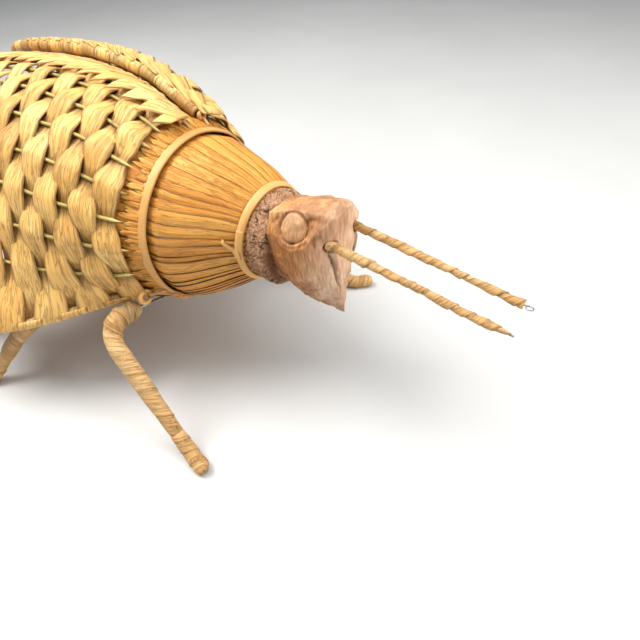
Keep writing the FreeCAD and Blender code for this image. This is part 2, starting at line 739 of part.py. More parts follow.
def stake_rear(wing, rim, share):
    """Where a stake ends at the rear, clear of the wrapped rim."""
    clear = size("rim_wrap") + size("stake_radius") + size("stake_play")
    back = size("stake_end")
    while rim.distToShape(Part.Vertex(wing_point(wing, back, share)))[0] < clear:
        back -= ALONG_STEP
    return back


def make_wing_stakes(name, wing):
    front = size("stake_front")
    rim = smooth_path(rim_points(wing))
    rods = []
    for share in stake_shares():
        rear = stake_rear(wing, rim, share)
        stations = [front + (rear - front) * step / STAKE_STEPS for step in range(STAKE_STEPS + 1)]
        path = smooth_path([wing_point(wing, back, share) for back in stations])
        rods.append(rod_on(path, size("stake_radius")))
    make_feature(f"{name}_wing_stakes", Part.makeCompound(rods))


def strip_section(wing, back, share, lift, width):
    """A flat rectangular section of a husk strip, across its length."""
    rear = min(back + width / 2, size("wing_tip_back") - ALONG_STEP)
    near = wing_lifted(wing, back - width / 2, share, lift)
    far = wing_lifted(wing, rear, share, lift)
    outward = wing_normal(wing, back, share) * (size("strip_thickness") / 2)
    corners = [near - outward, near + outward, far + outward, far - outward]
    return Part.makePolygon(corners + corners[:1])


def rim_margin(wing, back, share):
    """The share of a wing's width that its wrapped rim takes at one edge."""
    inside = share + ACROSS_STEP if share == 0 else share - ACROSS_STEP
    reach = (wing_point(wing, back, share) - wing_point(wing, back, inside)).Length / ACROSS_STEP
    return (size("rim_wrap") + size("stake_radius")) / reach


def make_wing_weave(name, wing):
    """Husk strips across the wing, over one stake and under the next."""
    swing = size("stake_radius") + size("strip_thickness") / 2 + size("weave_play")
    gaps = int(size("stake_count")) + 1
    steps = STRIP_STEPS * gaps
    middle = (size("strip_width") + size("strip_pinch")) / 2
    strips = []
    for number in range(int(size("strip_count"))):
        back = size("strip_first") + number * size("strip_pitch")
        first, last = rim_margin(wing, back, 0), 1 - rim_margin(wing, back, 1)
        sections = []
        for step in range(steps + 1):
            share = first + (last - first) * step / steps
            wave = cos(pi * (share ** (1 / size("stake_spread")) * gaps + number + 1))
            width = middle + (size("strip_width") - middle) * abs(wave)
            sections.append(strip_section(wing, back, share, swing * wave, width))
        strips.append(Part.makeLoft(sections, True, True))
    make_feature(f"{name}_wing_weave", Part.makeCompound(strips))


def make_lashing(name, wing, place, share):
    """A cord from the thorax hoop back into the eye of the rim rod, in the eye's inner half."""
    eye = eye_centre(wing, share)
    outward = vector(0, eye.y, eye.z).normalize()
    start = vector(-size("lashing_set"), 0, 0) + outward * (size("hoop_radius") + size("lashing_rise"))
    end = eye - outward * size("lashing_radius")
    run = end - start
    cord = Part.makeCylinder(size("lashing_radius"), run.Length + size("lashing_radius"), start, run)
    make_feature(f"{name}_{place}_lashing", cord)


def make_wing(name, wing):
    make_wing_rim(name, wing)
    make_wing_stakes(name, wing)
    make_wing_weave(name, wing)
    make_lashing(name, wing, "lower", 1)
    make_lashing(name, wing, "upper", 0)


# ---------------------------------------------------------------- the whole insect


def make_insect():
    make_head()
    make_neck_bark()
    make_neck_band()
    make_thorax_hoop()
    make_thorax_blades()
    make_abdomen_blades()
    make_tail_band()
    make_cage_hoops()
    make_cage_ribs()
    for name, side in (("right", -1), ("left", 1)):
        make_antenna(name, side)
    for pair in ("front", "middle", "hind"):
        make_leg_wire(pair)
    for leg in LEGS:
        make_leg_wraps(leg)
    for name, wing in WINGS.items():
        make_wing(name, wing)


def check_document():
    """Stops on a failed object or an unsound sub-part."""
    doc.recompute()
    for item in doc.Objects:
        if "Invalid" in item.State or "Error" in item.State:
            raise RuntimeError(f"{item.Label} failed: {item.State}")
    for item in finished:
        if item.Shape.isNull() or not item.Shape.isValid() or not item.Shape.Solids:
            raise RuntimeError(f"{item.Label} has no sound shape")


def write_parts():
    os.makedirs("parts", exist_ok=True)
    for item in finished:
        item.Shape.exportStep(f"parts/{item.Label}.step")


make_insect()
check_document()
write_parts()
for item in finished:
    box = item.Shape.BoundBox
    print(f"{item.Label}: {len(item.Shape.Solids)} solids, {item.Shape.Volume:.0f} mm3,", box)
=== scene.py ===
from math import cos, pi, radians, sin

import bmesh
import bpy
import numpy as np
from mathutils import Matrix, Vector, noise


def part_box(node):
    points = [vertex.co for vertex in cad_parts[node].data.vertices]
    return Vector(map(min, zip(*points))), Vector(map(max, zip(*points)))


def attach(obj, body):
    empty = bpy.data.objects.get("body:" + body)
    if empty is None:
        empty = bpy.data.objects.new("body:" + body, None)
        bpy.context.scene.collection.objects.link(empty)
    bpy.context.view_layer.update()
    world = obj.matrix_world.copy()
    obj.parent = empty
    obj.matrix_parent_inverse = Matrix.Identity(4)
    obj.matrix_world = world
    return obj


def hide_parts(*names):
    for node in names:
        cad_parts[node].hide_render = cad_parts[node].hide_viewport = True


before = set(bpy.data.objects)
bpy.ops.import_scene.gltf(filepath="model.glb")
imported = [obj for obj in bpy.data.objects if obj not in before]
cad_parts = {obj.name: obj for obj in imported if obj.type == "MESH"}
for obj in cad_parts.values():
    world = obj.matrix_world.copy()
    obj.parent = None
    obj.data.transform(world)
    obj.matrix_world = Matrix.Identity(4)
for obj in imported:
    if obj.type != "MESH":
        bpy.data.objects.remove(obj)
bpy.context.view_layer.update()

# A large standing insect woven from palm leaf, with a carved wooden head. Lengths are in
# millimetres in the body axis frame: X forward from the front edge of the thorax hoop, Y to the
# insect's left, Z up from the body's axis. to_frame() turns them into metres in the frame.

MM = 0.001
SEED = 41

hoop_low, hoop_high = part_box("thorax_hoop")
AXIS = np.array([hoop_high.x, 0.0, (hoop_low.z + hoop_high.z) / 2]) / MM
GROUND = -AXIS[2]

# The body: a belly arc from the waist to the widest station, then a tail arc to the tail.
WAIST = 57.4
BELLY = 79.4
BELLY_BACK = 110.0
TAIL = 18.0
TAIL_BACK = 255.0
TUFT_BACKS = (255.0, 263.0, 271.0, 278.0)
TUFT_RADII = (18.0, 9.5, 9.5, 12.0)
BLADES = 36
LEAF = 1.2
BLADE_THICK = 0.5
BLADE_TILT = 0.575

# The thorax: an arc from the hoop to the neck band, then straight in to the neck.
HOOP_RADIUS = 60.0
HOOP_WIDTH = 6.5
HOOP_THICK = 1.3
THORAX_FRONT = 58.6
THORAX_NECK = 33.2
NECK_BACK = 50.4
NECK_FRONT = 56.4
BLADE_END = 56.2
BLADE_END_RADIUS = 29.2
THORAX_ARC = 187.0
COLLAR = 18.0
NECK_RADIUS = 30.6
NECK_FLARE = 4.0
NECK_BAND_WIDTH = 3.8
NECK_YAW = 0.07
NECK_SHIFT = (3.0, 2.5)
BARK_BACK = 55.5
BARK_FRONT = 70.0
BARK_RADII = (30.4, 30.0)
BARK_INSIDE = 26.1

# The head: a block from the bark forward, with its eyes on the upper slanted sides.
HEAD_BACK = 70.0
CHIN_DROP = 42.0
HEAD_LENGTH = 42.0
EYE_CENTRE = (88.8, 23.6, 31.6)
EYE_NORMAL = (0.0, 0.85, 0.53)
EYE_RADIUS = 8.4
HEAD_VOXEL = 0.75
HEAD_FACETS = 110
NOTCH_DEPTH = 3.0
LIP_POINT = (98.5, -30.0)
LIP_SLOPE = 1.4
NICK = (94.0, -6.0, 43.0)
ANTENNA_SPREAD = 13.3
ANTENNA_HEIGHT = 19.0
ANTENNA_DROOP = 10.8
ANTENNA_LENGTH = 106.0
ANTENNA_RADII = (2.6, 1.9)
WIRE = 0.65

# Legs: (forward, outward, above ground) of root, knee, heel and toe.
LEGS = {
    "front_right": [(-20, 44, 78), (-28, 94, 88), (44, 109, 5.5), (62, 115, 5.5)],
    "front_left": [(-20, 44, 78), (-28, 94, 88), (52, 114, 5.5), (68, 128, 5.5)],
    "middle_right": [(-66, 52, 70), (-116, 104, 60), (-152, 140, 5.5), (-164, 154, 5.5)],
    "middle_left": [(-66, 52, 70), (-116, 104, 60), (-152, 140, 5.5), (-164, 154, 5.5)],
    "hind_right": [(-124, 52, 66), (-186, 90, 64), (-232, 116, 5.5), (-246, 127, 5.5)],
    "hind_left": [(-124, 52, 66), (-186, 90, 64), (-232, 116, 5.5), (-246, 127, 5.5)],
}
THIGH_BARE = 0.42
LEG_RADIUS = 6.5
SHIN_RADIUS = 6.2
ANKLE_RADIUS = 4.6
FOOT_RADIUS = 5.8
TOE_RADIUS = 5.6
ANKLE_RISE = 0.14
LEG_WIRE = 1.2

# Wings: the seam is how far outward of the middle plane the inner edge runs.
WINGS = {
    "right": {"side": -1, "seam_front": -6.0, "seam_back": -12.0, "rise": 0.0},
    "left": {"side": 1, "seam_front": 24.0, "seam_back": 20.5, "rise": 8.0},
}
WING_FRONT = 15.0
WING_CORNER = 12.0
WING_SLOPE = 42.0
WING_FRONT_RADIUS = 67.5
WING_BELLY = 87.4
WING_BACK_ARC = 600.0
RIM_FRONT = 67.0
RIM_WIDE = 150.0
RIM_WIDE_BACK = 150.0
RIM_ANGLES = (-29.0, -20.0)
RIM_POWER = 1.3
ROUNDING_BACK = 160.0
TIP_BACK = 256.0
TIP_ANGLE = 35.0
FLARE_POWER = 8.0
RIM_WRAP = 3.4
EYE_RING = 4.6
EYE_WIRE = 1.3
WING_CLEARANCE = 0.6
STAKES = 8
STAKE_SPREAD = 1.35
STAKE_RADIUS = 1.1
STAKE_FRONT = 9.0
STAKE_END = 236.0
STRIPS = 17
STRIP_FIRST = 22.0
STRIP_PITCH = 12.8
TIP_SPREAD = 8.0
STRIP_WIDE = 15.8
STRIP_PINCH = 10.6
STRIP_THICK = 0.5

# Light: name, place in metres, width, power and colour of each lamp; all face the target.
LAMP_TARGET = (0.05, 0.0, 0.12)
LAMPS = (
    ("window", (-0.60, -0.28, 1.28), 0.9, 27.0, (1.0, 0.985, 0.96)),
    ("ceiling", (0.30, 0.10, 1.35), 1.0, 9.0, (1.0, 1.0, 1.0)),
    ("front", (1.15, 0.30, 0.75), 0.8, 11.0, (1.0, 0.99, 0.97)),
)
SKY_COLOUR = (0.93, 0.96, 1.0, 1)
SKY_STRENGTH = 0.32
FLOOR_REACH = 6.0

# Camera: place in millimetres in the frame; azimuth, angle down and roll in degrees.
CAMERA_PLACE = (260.7, -210.4, 309.8)
CAMERA_TURN = (33.98, 43.68, -3.53)
CAMERA_LENS = 27.056
CAMERA_SENSOR = 36.0


# ---------------------------------------------------------------- mesh helpers


def to_frame(points):
    return (np.asarray(points, float) + AXIS) * MM


def unit(vectors):
    vectors = np.asarray(vectors, float)
    return vectors / np.maximum(np.linalg.norm(vectors, axis=-1, keepdims=True), 1e-9)


def smooth_step(values, low, high):
    share = np.clip((np.asarray(values, float) - low) / (high - low), 0, 1)
    return share * share * (3 - 2 * share)


def waver(values, rng, length, size=1.0):
    """A smooth wandering line: three sines of seeded phase about a wavelength."""
    values = np.asarray(values, float)
    total = np.zeros(values.shape)
    for ratio in (1.0, 1.73, 2.91):
        total += np.sin(2 * pi * values * ratio / length + rng.uniform(0, 2 * pi)) / ratio
    return total * size / 2


class Piece:
    """One mesh gathered from closed tubes of quads, with fibre coordinates and shades."""

    def __init__(self):
        self.points = []
        self.faces = []
        self.coords = []
        self.shades = []
        self.count = 0

    def tube(self, rings, u, v, tone=0.5, shade_and_marks=0.0, ripe=0.0, loop=False):
        """rings is (rows, columns, 3); u and v are fibre coordinates, one column wider."""
        rows, columns = rings.shape[:2]
        index = self.count + np.arange(rows * columns).reshape(rows, columns)
        here = np.arange(rows if loop else rows - 1)
        there = (here + 1) % rows
        nearer, farther = index[here], index[there]
        quads = np.stack([nearer, np.roll(nearer, -1, 1), np.roll(farther, -1, 1), farther], -1)
        self.faces += quads.reshape(-1, 4).tolist()
        u = np.broadcast_to(u, (rows, columns + 1))
        v = np.broadcast_to(v, (rows, columns + 1))
        grid = np.stack([u, v], -1)
        last = grid[here[-1] + 1] if not loop else grid[-1] + (grid[-1] - grid[-2])
        after = np.concatenate([grid[here[1:]], last[None]])
        corners = [grid[here][:, :-1], grid[here][:, 1:], after[:, 1:], after[:, :-1]]
        self.coords.append(np.stack(corners, 2).reshape(-1, 2))
        if not loop:
            for end in (0, -1):
                self.faces.append(index[end].tolist())
                self.coords.append(grid[end][:-1])
        self.points.append(rings.reshape(-1, 3))
        shade = [np.broadcast_to(x, (rows, columns)).ravel() for x in (tone, shade_and_marks, ripe)]
        self.shades.append(np.stack(shade, -1))
        self.count += rows * columns

    def slab(self, top, thick, u, v, tone=0.5, shade_and_marks=0.0, ripe=0.0):
        """A thin strip about a grid of points (rows, columns, 3), closed all round."""
        normal = unit(np.cross(np.gradient(top, axis=0), np.gradient(top, axis=1)))
        lift = normal * (np.broadcast_to(thick, top.shape[:2])[..., None] / 2)
        rings = np.concatenate([top + lift, (top - lift)[:, ::-1]], 1)

        def both(values, wrap=False):
            values = np.broadcast_to(values, top.shape[:2])
            sides = [values, values[:, ::-1]] + ([values[:, :1]] if wrap else [])
            return np.concatenate(sides, 1)

        self.tube(rings, both(u, True), both(v, True), both(tone), both(shade_and_marks), both(ripe))

    def reshape(self, change):
        """Passes every point through a function."""
        self.points = [change(points) for points in self.points]

    def build(self, name, body, slot, material, *nodes):
        mesh = bpy.data.meshes.new(name)
        points = to_frame(np.concatenate(self.points))
        mesh.from_pydata(points.tolist(), [], self.faces)
        layer = mesh.uv_layers.new(name="fibre")
        layer.data.foreach_set("uv", np.concatenate(self.coords).astype(np.float32).ravel())
        shades = np.concatenate(self.shades).astype(np.float32)
        for number, label in enumerate(("tone", "shade_and_marks", "ripe")):
            attribute = mesh.attributes.new(label, "FLOAT", "POINT")
            attribute.data.foreach_set("value", np.ascontiguousarray(shades[:, number]))
        return place_piece(name, mesh, body, slot, material, *nodes)


def place_piece(name, mesh, body, slot, material, *nodes):
    """Makes the object, turns its faces outward, joins it to its body and hides the CAD nodes it stands for.
    """
    work = bmesh.new()
    work.from_mesh(mesh)
    bmesh.ops.recalc_face_normals(work, faces=work.faces)
    work.to_mesh(mesh)
    work.free()
    mesh.polygons.foreach_set("use_smooth", [True] * len(mesh.polygons))
    mesh.materials.append(material)
    piece = bpy.data.objects.new(name, mesh)
    bpy.context.scene.collection.objects.link(piece)
    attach(piece, body)
    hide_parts(*nodes)
    return piece


def round_axis(along, radius, angles):
    """Points at radii and angles round the body axis; angle 0 is up."""
    parts = np.broadcast_arrays(along, radius * np.sin(angles), radius * np.cos(angles))
    return np.stack(parts, -1)


def path_frames(path):
    """Tangent and two square directions at each point, carried along the path without twist."""
    tangents = unit(np.gradient(path, axis=0))
    side = np.array([0.0, 0.0, -1.0])
    sides = []
    for tangent in tangents:
        side = unit(side - tangent * np.dot(side, tangent))
        sides.append(side)
    sides = np.array(sides)
    return tangents, sides, np.cross(tangents, sides)


def path_lengths(path):
    steps = np.linalg.norm(np.diff(path, axis=0), axis=1)
    return np.concatenate([[0], np.cumsum(steps)])


def nearest(path, point):
    """The number of the path's point that lies nearest to a place."""
    return int(np.argmin(np.linalg.norm(path - point, axis=1)))


def resample(path, spacing):
    """A smooth path through the given points, at an even spacing."""
    path = np.asarray(path, float)
    lengths = path_lengths(path)
    count = max(int(lengths[-1] / spacing), 2)
    at = np.linspace(0, lengths[-1], count + 1)
    return np.stack([np.interp(at, lengths, path[:, axis]) for axis in range(3)], -1)


def smooth_curve(points, spacing):
    """A Catmull-Rom curve through the points, at an even spacing."""
    points = np.asarray(points, float)
    ends = np.concatenate([[2 * points[0] - points[1]], points, [2 * points[-1] - points[-2]]])
    dense = []
    for a, b, c, d in zip(ends, ends[1:], ends[2:], ends[3:]):
        for t in np.linspace(0, 1, 24, endpoint=False):
            dense.append(
                0.5 * (2 * b + (c - a) * t + (2 * a - 5 * b + 4 * c - d) * t**2
                       + (3 * b - a - 3 * c + d) * t**3)
            )
    dense.append(points[-1])
    return resample(dense, spacing)


def rounded_path(points, radius, spacing):
    """Straight runs with each corner replaced by a smooth bend."""
    points = [np.asarray(point, float) for point in points]
    line = [points[0]]
    for before, corner, after in zip(points, points[1:], points[2:]):
        reach = min(radius, 0.48 * min(np.linalg.norm(before - corner), np.linalg.norm(after - corner)))
        start = corner + unit(before - corner) * reach
        end = corner + unit(after - corner) * reach
        for t in np.linspace(0, 1, 16):
            line.append((1 - t) ** 2 * start + 2 * t * (1 - t) * corner + t**2 * end)
    line.append(points[-1])
    return resample(line, spacing)


def circle(side, other, angles):
    """Directions round each point of a path, in the plane of its two square directions."""
    return side[:, None] * np.cos(angles)[None, :, None] + other[:, None] * np.sin(angles)[None, :, None]


def plain_rod(piece, path, radii, columns=12, tone=0.5, shade_and_marks=0.0, ripe=0.0):
    """A round rod whose fibres run along it."""
    _, side, other = path_frames(path)
    angles = 2 * pi * np.arange(columns) / columns
    radii = np.broadcast_to(np.asarray(radii, float), (len(path),))
    rings = path[:, None] + circle(side, other, angles) * radii[:, None, None]
    u = path_lengths(path)[:, None]
    v = np.linspace(0, 2 * pi * float(radii.max()), columns + 1)[None]
    shades = [np.asarray(shade, float).reshape(-1, 1) for shade in (tone, shade_and_marks, ripe)]
    piece.tube(rings, u, v, *shades)


def wrapped_rod(piece, path, radii, pitch, ledge, lump, rng, columns, ripe=0.0, floor=None, edge=0.5):
    """A rod wound with a husk strip: each turn laps the last one and has its own tone, with painted shade
    along each lap line.
    """
    _, side, other = path_frames(path)
    lengths = path_lengths(path)
    radii = np.broadcast_to(np.asarray(radii, float), (len(path),))
    angles = 2 * pi * np.arange(columns + 1) / columns
    drift = waver(lengths, rng, pitch * 5, pitch * 0.25)
    turns = (lengths + drift)[:, None] / pitch + angles[None] / (2 * pi) + 3
    number = np.floor(turns).astype(int)
    share = turns - number
    size = rng.uniform(-1, 1, number.max() + 2)
    tones = rng.uniform(0.15, 0.85, number.max() + 2)
    wide = rng.uniform(0.4, 1.0, number.max() + 2)
    rise = ledge * wide[number] * (share - 0.5) + lump * size[number]
    rise += waver(lengths, rng, pitch * 1.7, lump * 0.8)[:, None]
    rise += lump * 0.7 * np.sin(angles * 2 + lengths[:, None] / pitch)
    grow = (radii[:, None] + rise)[:, :-1, None]
    rings = path[:, None] + circle(side, other, angles[:-1]) * grow
    if floor is not None:
        rings[..., 2] = np.maximum(rings[..., 2], floor)
    # Painted shade: each turn's lap line is darkened where the next turn's edge steps down over it.
    line = edge / pitch
    shade_and_marks = smooth_step(share, line, 0) + smooth_step(share, 1 - line, 1)
    shade_and_marks = np.clip(shade_and_marks, 0, 1) * wide[number]
    tone = tones[number] + 0.12 * waver(share * 9 + number * 3.1, rng, 3.0)
    u = angles[None] * float(radii.mean()) + lengths[:, None] * 0.2
    v = lengths[:, None] + angles[None] / (2 * pi) * pitch
    piece.tube(rings, u, v, tone[:, :-1], shade_and_marks[:, :-1], ripe)


# ---------------------------------------------------------------- shapes of the body and wings


def crest(back, peak, peak_back, reach, drop):
    """Radius of a circular arc that has its peak at peak_back and has dropped at reach."""
    arc = (reach**2 + drop**2) / (2 * drop)
    return peak - arc + np.sqrt(np.maximum(arc**2 - (back - peak_back) ** 2, 0))


def body_radius(back):
    """Inner radius of the abdomen's blades at a station behind the hoop."""
    back = np.asarray(back, float)
    belly = crest(back, BELLY, BELLY_BACK, BELLY_BACK, BELLY - WAIST)
    tail = crest(back, BELLY, BELLY_BACK, TAIL_BACK - BELLY_BACK, BELLY - TAIL)
    tuft = np.interp(back, TUFT_BACKS, TUFT_RADII)
    return np.where(back < BELLY_BACK, belly, np.where(back < TAIL_BACK, tail, tuft))


def thorax_radius(forward):
    """Outer radius of the thorax blades between the hoop and the neck."""
    forward = np.asarray(forward, float)
    start = np.array([0.0, THORAX_FRONT])
    end = np.array([NECK_BACK, THORAX_NECK])
    chord = end - start
    half = np.linalg.norm(chord) / 2
    inward = np.array([chord[1], -chord[0]]) / (2 * half)
    centre = (start + end) / 2 + inward * np.sqrt(THORAX_ARC**2 - half**2)
    arc = centre[1] + np.sqrt(THORAX_ARC**2 - (forward - centre[0]) ** 2)
    neck = np.interp(forward, (NECK_BACK, BLADE_END), (THORAX_NECK, BLADE_END_RADIUS))
    return np.where(forward < NECK_BACK, arc, neck)


def neck_turn(points):
    """Turns the neck a little to the insect's right and sets it up and to the left."""
    x, y, z = points.T
    weight = smooth_step(x, 8, 50) * (1 - 0.6 * smooth_step(x, 58, HEAD_BACK))
    moved = [x + NECK_YAW * y * weight, y + NECK_SHIFT[0] * weight, z + NECK_SHIFT[1] * weight]
    return np.stack(moved, -1)


def slope_share(back):
    step = np.clip((np.asarray(back, float) - WING_CORNER) / WING_SLOPE, 0, 1)
    return (1 - np.cos(pi * step)) / 2


def wing_base(wing, back):
    """Radius of a wing where it lies over the body."""
    back = np.asarray(back, float)
    lifted = wing["rise"] * slope_share(back)
    front = crest(back, WING_BELLY, BELLY_BACK, BELLY_BACK - WING_FRONT, WING_BELLY - WING_FRONT_RADIUS)
    fall = np.sqrt(WING_BACK_ARC**2 - (back - BELLY_BACK) ** 2)
    return lifted + np.where(back > BELLY_BACK, WING_BELLY - WING_BACK_ARC + fall, front)


def rim_radius(wing, back):
    back = np.asarray(back, float)
    turn = np.clip((back - WING_FRONT) / (RIM_WIDE_BACK - WING_FRONT), 0, 1)
    front = RIM_FRONT + (RIM_WIDE - RIM_FRONT) * np.sin(pi / 2 * turn) ** RIM_POWER
    end = wing_base(wing, TIP_BACK)
    past = np.clip((back - RIM_WIDE_BACK) / (TIP_BACK - RIM_WIDE_BACK), 0, 1)
    rear = end + (RIM_WIDE - end) * np.sqrt(1 - past**2)
    return np.where(back < RIM_WIDE_BACK, front, rear)


def wing_point(wing, back, share):
    """A point of a wing's middle surface, share 0 at its inner edge to 1 at its lower rim."""
    back, share = np.broadcast_arrays(np.asarray(back, float), np.asarray(share, float))
    base = wing_base(wing, back)
    seam = wing["seam_front"] + (wing["seam_back"] - wing["seam_front"]) * slope_share(back)
    start = np.arccos(seam / base)
    wide = np.clip((back - WING_FRONT) / (RIM_WIDE_BACK - WING_FRONT), 0, 1)
    end = np.radians(RIM_ANGLES[0] + (RIM_ANGLES[1] - RIM_ANGLES[0]) * wide)
    angle = start + (end - start) * share
    past = np.clip((back - ROUNDING_BACK) / (TIP_BACK - ROUNDING_BACK), 0, 1)
    tip = radians(TIP_ANGLE)
    angle = tip + (angle - tip) * np.sqrt(np.maximum(1 - past**2, 0))
    flare = np.maximum(share, 0) ** FLARE_POWER
    radius = base + (rim_radius(wing, back) - base) * flare
    return np.stack([-back, wing["side"] * radius * np.cos(angle), radius * np.sin(angle)], -1)


def wing_across(wing, back, share):
    """The direction in a wing's surface from its inner edge to its rim."""
    step = 0.01
    inner = np.clip(share - step, 0, 1 - step)
    return unit(wing_point(wing, back, inner + step) - wing_point(wing, back, inner))


def wing_normal(wing, back, share):
    across = wing_across(wing, back, share)
    along = wing_point(wing, back - 1, share) - wing_point(wing, back + 1, share)
    return unit(np.cross(across, along)) * -wing["side"]


# ---------------------------------------------------------------- materials

BLACK = (0, 0, 0)
WHITE = (1, 1, 1)

# Thin dark veins where a noise crosses its middle value
VEIN_STOPS = (
    (0.470, BLACK), (0.492, WHITE), (0.502, WHITE), (0.524, BLACK),
    (0.585, BLACK), (0.600, (0.8, 0.8, 0.8)), (0.615, BLACK),
)


class Shading:
    """A material in the making, with short calls for the nodes that the pieces share."""

    def __init__(self, name):
        self.material = bpy.data.materials.new(name)
        self.material.use_nodes = True
        self.nodes = self.material.node_tree.nodes
        self.shader = self.nodes["Principled BSDF"]
        self.shader.inputs["IOR"].default_value = 1.45

    def feed(self, socket, value):
        """Links an output to a socket, or sets a plain number or colour on it."""
        if isinstance(value, tuple):
            socket.default_value = (*value, 1)
        elif isinstance(value, (int, float)):
            socket.default_value = value
        else:
            self.material.node_tree.links.new(value, socket)

    def maths(self, operation, first, second):
        node = self.nodes.new("ShaderNodeMath")
        node.operation = operation
        self.feed(node.inputs[0], first)
        self.feed(node.inputs[1], second)
        return node.outputs[0]

    def times(self, first, second):
        return self.maths("MULTIPLY", first, second)

    def plus(self, first, second):
        return self.maths("ADD", first, second)

    def blend(self, factor, first, second):
        node = self.nodes.new("ShaderNodeMix")
        node.data_type = "RGBA"
        for socket, value in zip((node.inputs[0], node.inputs[6], node.inputs[7]), (factor, first, second)):
            self.feed(socket, value)
        return node.outputs[2]

    def ramp(self, factor, *stops):
        node = self.nodes.new("ShaderNodeValToRGB")
        while len(node.color_ramp.elements) < len(stops):
            node.color_ramp.elements.new(0.5)
        for element, (place, colour) in zip(node.color_ramp.elements, stops):
            element.position = place
            element.color = (*colour, 1)
        self.feed(node.inputs[0], factor)
        return node.outputs[0]

    def noise(self, source, scale, detail=4.0, rough=0.6, shift=0.0):
        """Noise whose grain is stretched by a scale for each axis."""
        mapping = self.nodes.new("ShaderNodeMapping")
        mapping.inputs["Scale"].default_value = scale
        mapping.inputs["Location"].default_value = (shift, shift * 0.7, shift * 0.4)
        self.feed(mapping.inputs["Vector"], source)
        texture = self.nodes.new("ShaderNodeTexNoise")
        for label, value in (("Scale", 1.0), ("Detail", detail), ("Roughness", rough)):
            texture.inputs[label].default_value = value
        self.feed(texture.inputs["Vector"], mapping.outputs[0])
        return texture.outputs["Fac"]

    def object_place(self):
        return self.nodes.new("ShaderNodeTexCoord").outputs["Object"]

    def shade(self, label):
        """One of a piece's own per-point values: tone, the dark mask of painted shade and marks, or ripe."""
        node = self.nodes.new("ShaderNodeAttribute")
        node.attribute_name = label
        return node.outputs["Fac"]

    def done(self, colour, rough, height=None, bump=0.0):
        self.feed(self.shader.inputs["Base Color"], colour)
        self.feed(self.shader.inputs["Roughness"], rough)
        if height is not None:
            node = self.nodes.new("ShaderNodeBump")
            node.inputs["Distance"].default_value = bump
            node.inputs["Strength"].default_value = 1.0
            self.feed(node.inputs["Height"], height)
            self.feed(self.shader.inputs["Normal"], node.outputs[0])
        return self.material


def leaf_material(name, dark, middle, light, ripe, shade_and_marks, fibre, rough, bump, spots=0.0, lines=0.0):
    """Dry plant leaf: fibres along the fibre coordinates, patches, a tone for each strip, a
    second colour where ripe is set, thin dark veins and spots, and a dark mask that paints
    shade along lap lines, edges, folds and dives, and darkens the stakes' real knots."""
    leaf = Shading(name)
    coords = leaf.nodes.new("ShaderNodeUVMap")
    coords.uv_map = "fibre"
    coords = coords.outputs[0]
    fine = leaf.noise(coords, (fibre[0], fibre[1], 1), 5.0, 0.65)
    hair = leaf.noise(coords, (fibre[0] * 0.6, fibre[1] * 4, 1), 2.0)
    patch = leaf.noise(coords, (0.05, 0.16, 1), 3.0, 0.5, 7.0)
    level = leaf.times(leaf.shade("tone"), 0.36)
    for texture, weight in ((fine, 0.46), (hair, 0.16), (patch, 0.50)):
        level = leaf.plus(level, leaf.times(texture, weight))
    level = leaf.maths("SUBTRACT", level, 0.24)
    colour = leaf.ramp(level, (0.12, dark), (0.48, middle), (0.82, light))
    colour = leaf.blend(leaf.shade("ripe"), colour, ripe)
    streak = leaf.ramp(fine, (0.24, WHITE), (0.36, BLACK))
    colour = leaf.blend(leaf.times(streak, 0.5), colour, shade_and_marks)
    height = leaf.plus(fine, leaf.times(hair, 0.6))
    if lines:
        vein = leaf.ramp(leaf.noise(coords, (0.03, 0.42, 1), 4.0, 0.5, 31.0), *VEIN_STOPS)
        colour = leaf.blend(leaf.times(vein, lines), colour, shade_and_marks)
        height = leaf.maths("SUBTRACT", height, leaf.times(vein, 1.2))
    if spots:
        dots = leaf.ramp(leaf.noise(coords, (0.35, 0.6, 1), 2.0, 0.5, 19.0), (0.68, BLACK), (0.74, WHITE))
        colour = leaf.blend(leaf.times(dots, spots), colour, shade_and_marks)
    # Painted shade: the per-point dark mask darkens lap lines, edges, gaps and dives; on the stakes it also
    # darkens the real knots.
    colour = leaf.blend(leaf.times(leaf.shade("shade_and_marks"), 0.92), colour, shade_and_marks)
    gloss = leaf.nodes.new("ShaderNodeMapRange")
    gloss.inputs["To Min"].default_value = rough + 0.12
    gloss.inputs["To Max"].default_value = rough - 0.12
    leaf.feed(gloss.inputs["Value"], fine)
    return leaf.done(colour, gloss.outputs[0], height, bump)


def solid_cane_material(name, dark, light):
    """Cane of the hidden cage, grained in the object's own coordinates."""
    cane = Shading(name)
    fine = cane.noise(cane.object_place(), (220, 900, 900), 4.0)
    return cane.done(cane.ramp(fine, (0.3, dark), (0.7, light)), 0.5, fine, 0.0002)


def steel_material(name):
    """Dull wire, a little stained."""
    steel = Shading(name)
    fine = steel.noise(steel.object_place(), (600, 600, 600), 3.0)
    steel.shader.inputs["Metallic"].default_value = 0.85
    colour = steel.ramp(fine, (0.3, (0.16, 0.13, 0.11)), (0.65, (0.50, 0.49, 0.48)))
    return steel.done(colour, steel.ramp(fine, (0.3, (0.6, 0.6, 0.6)), (0.7, (0.3, 0.3, 0.3))))


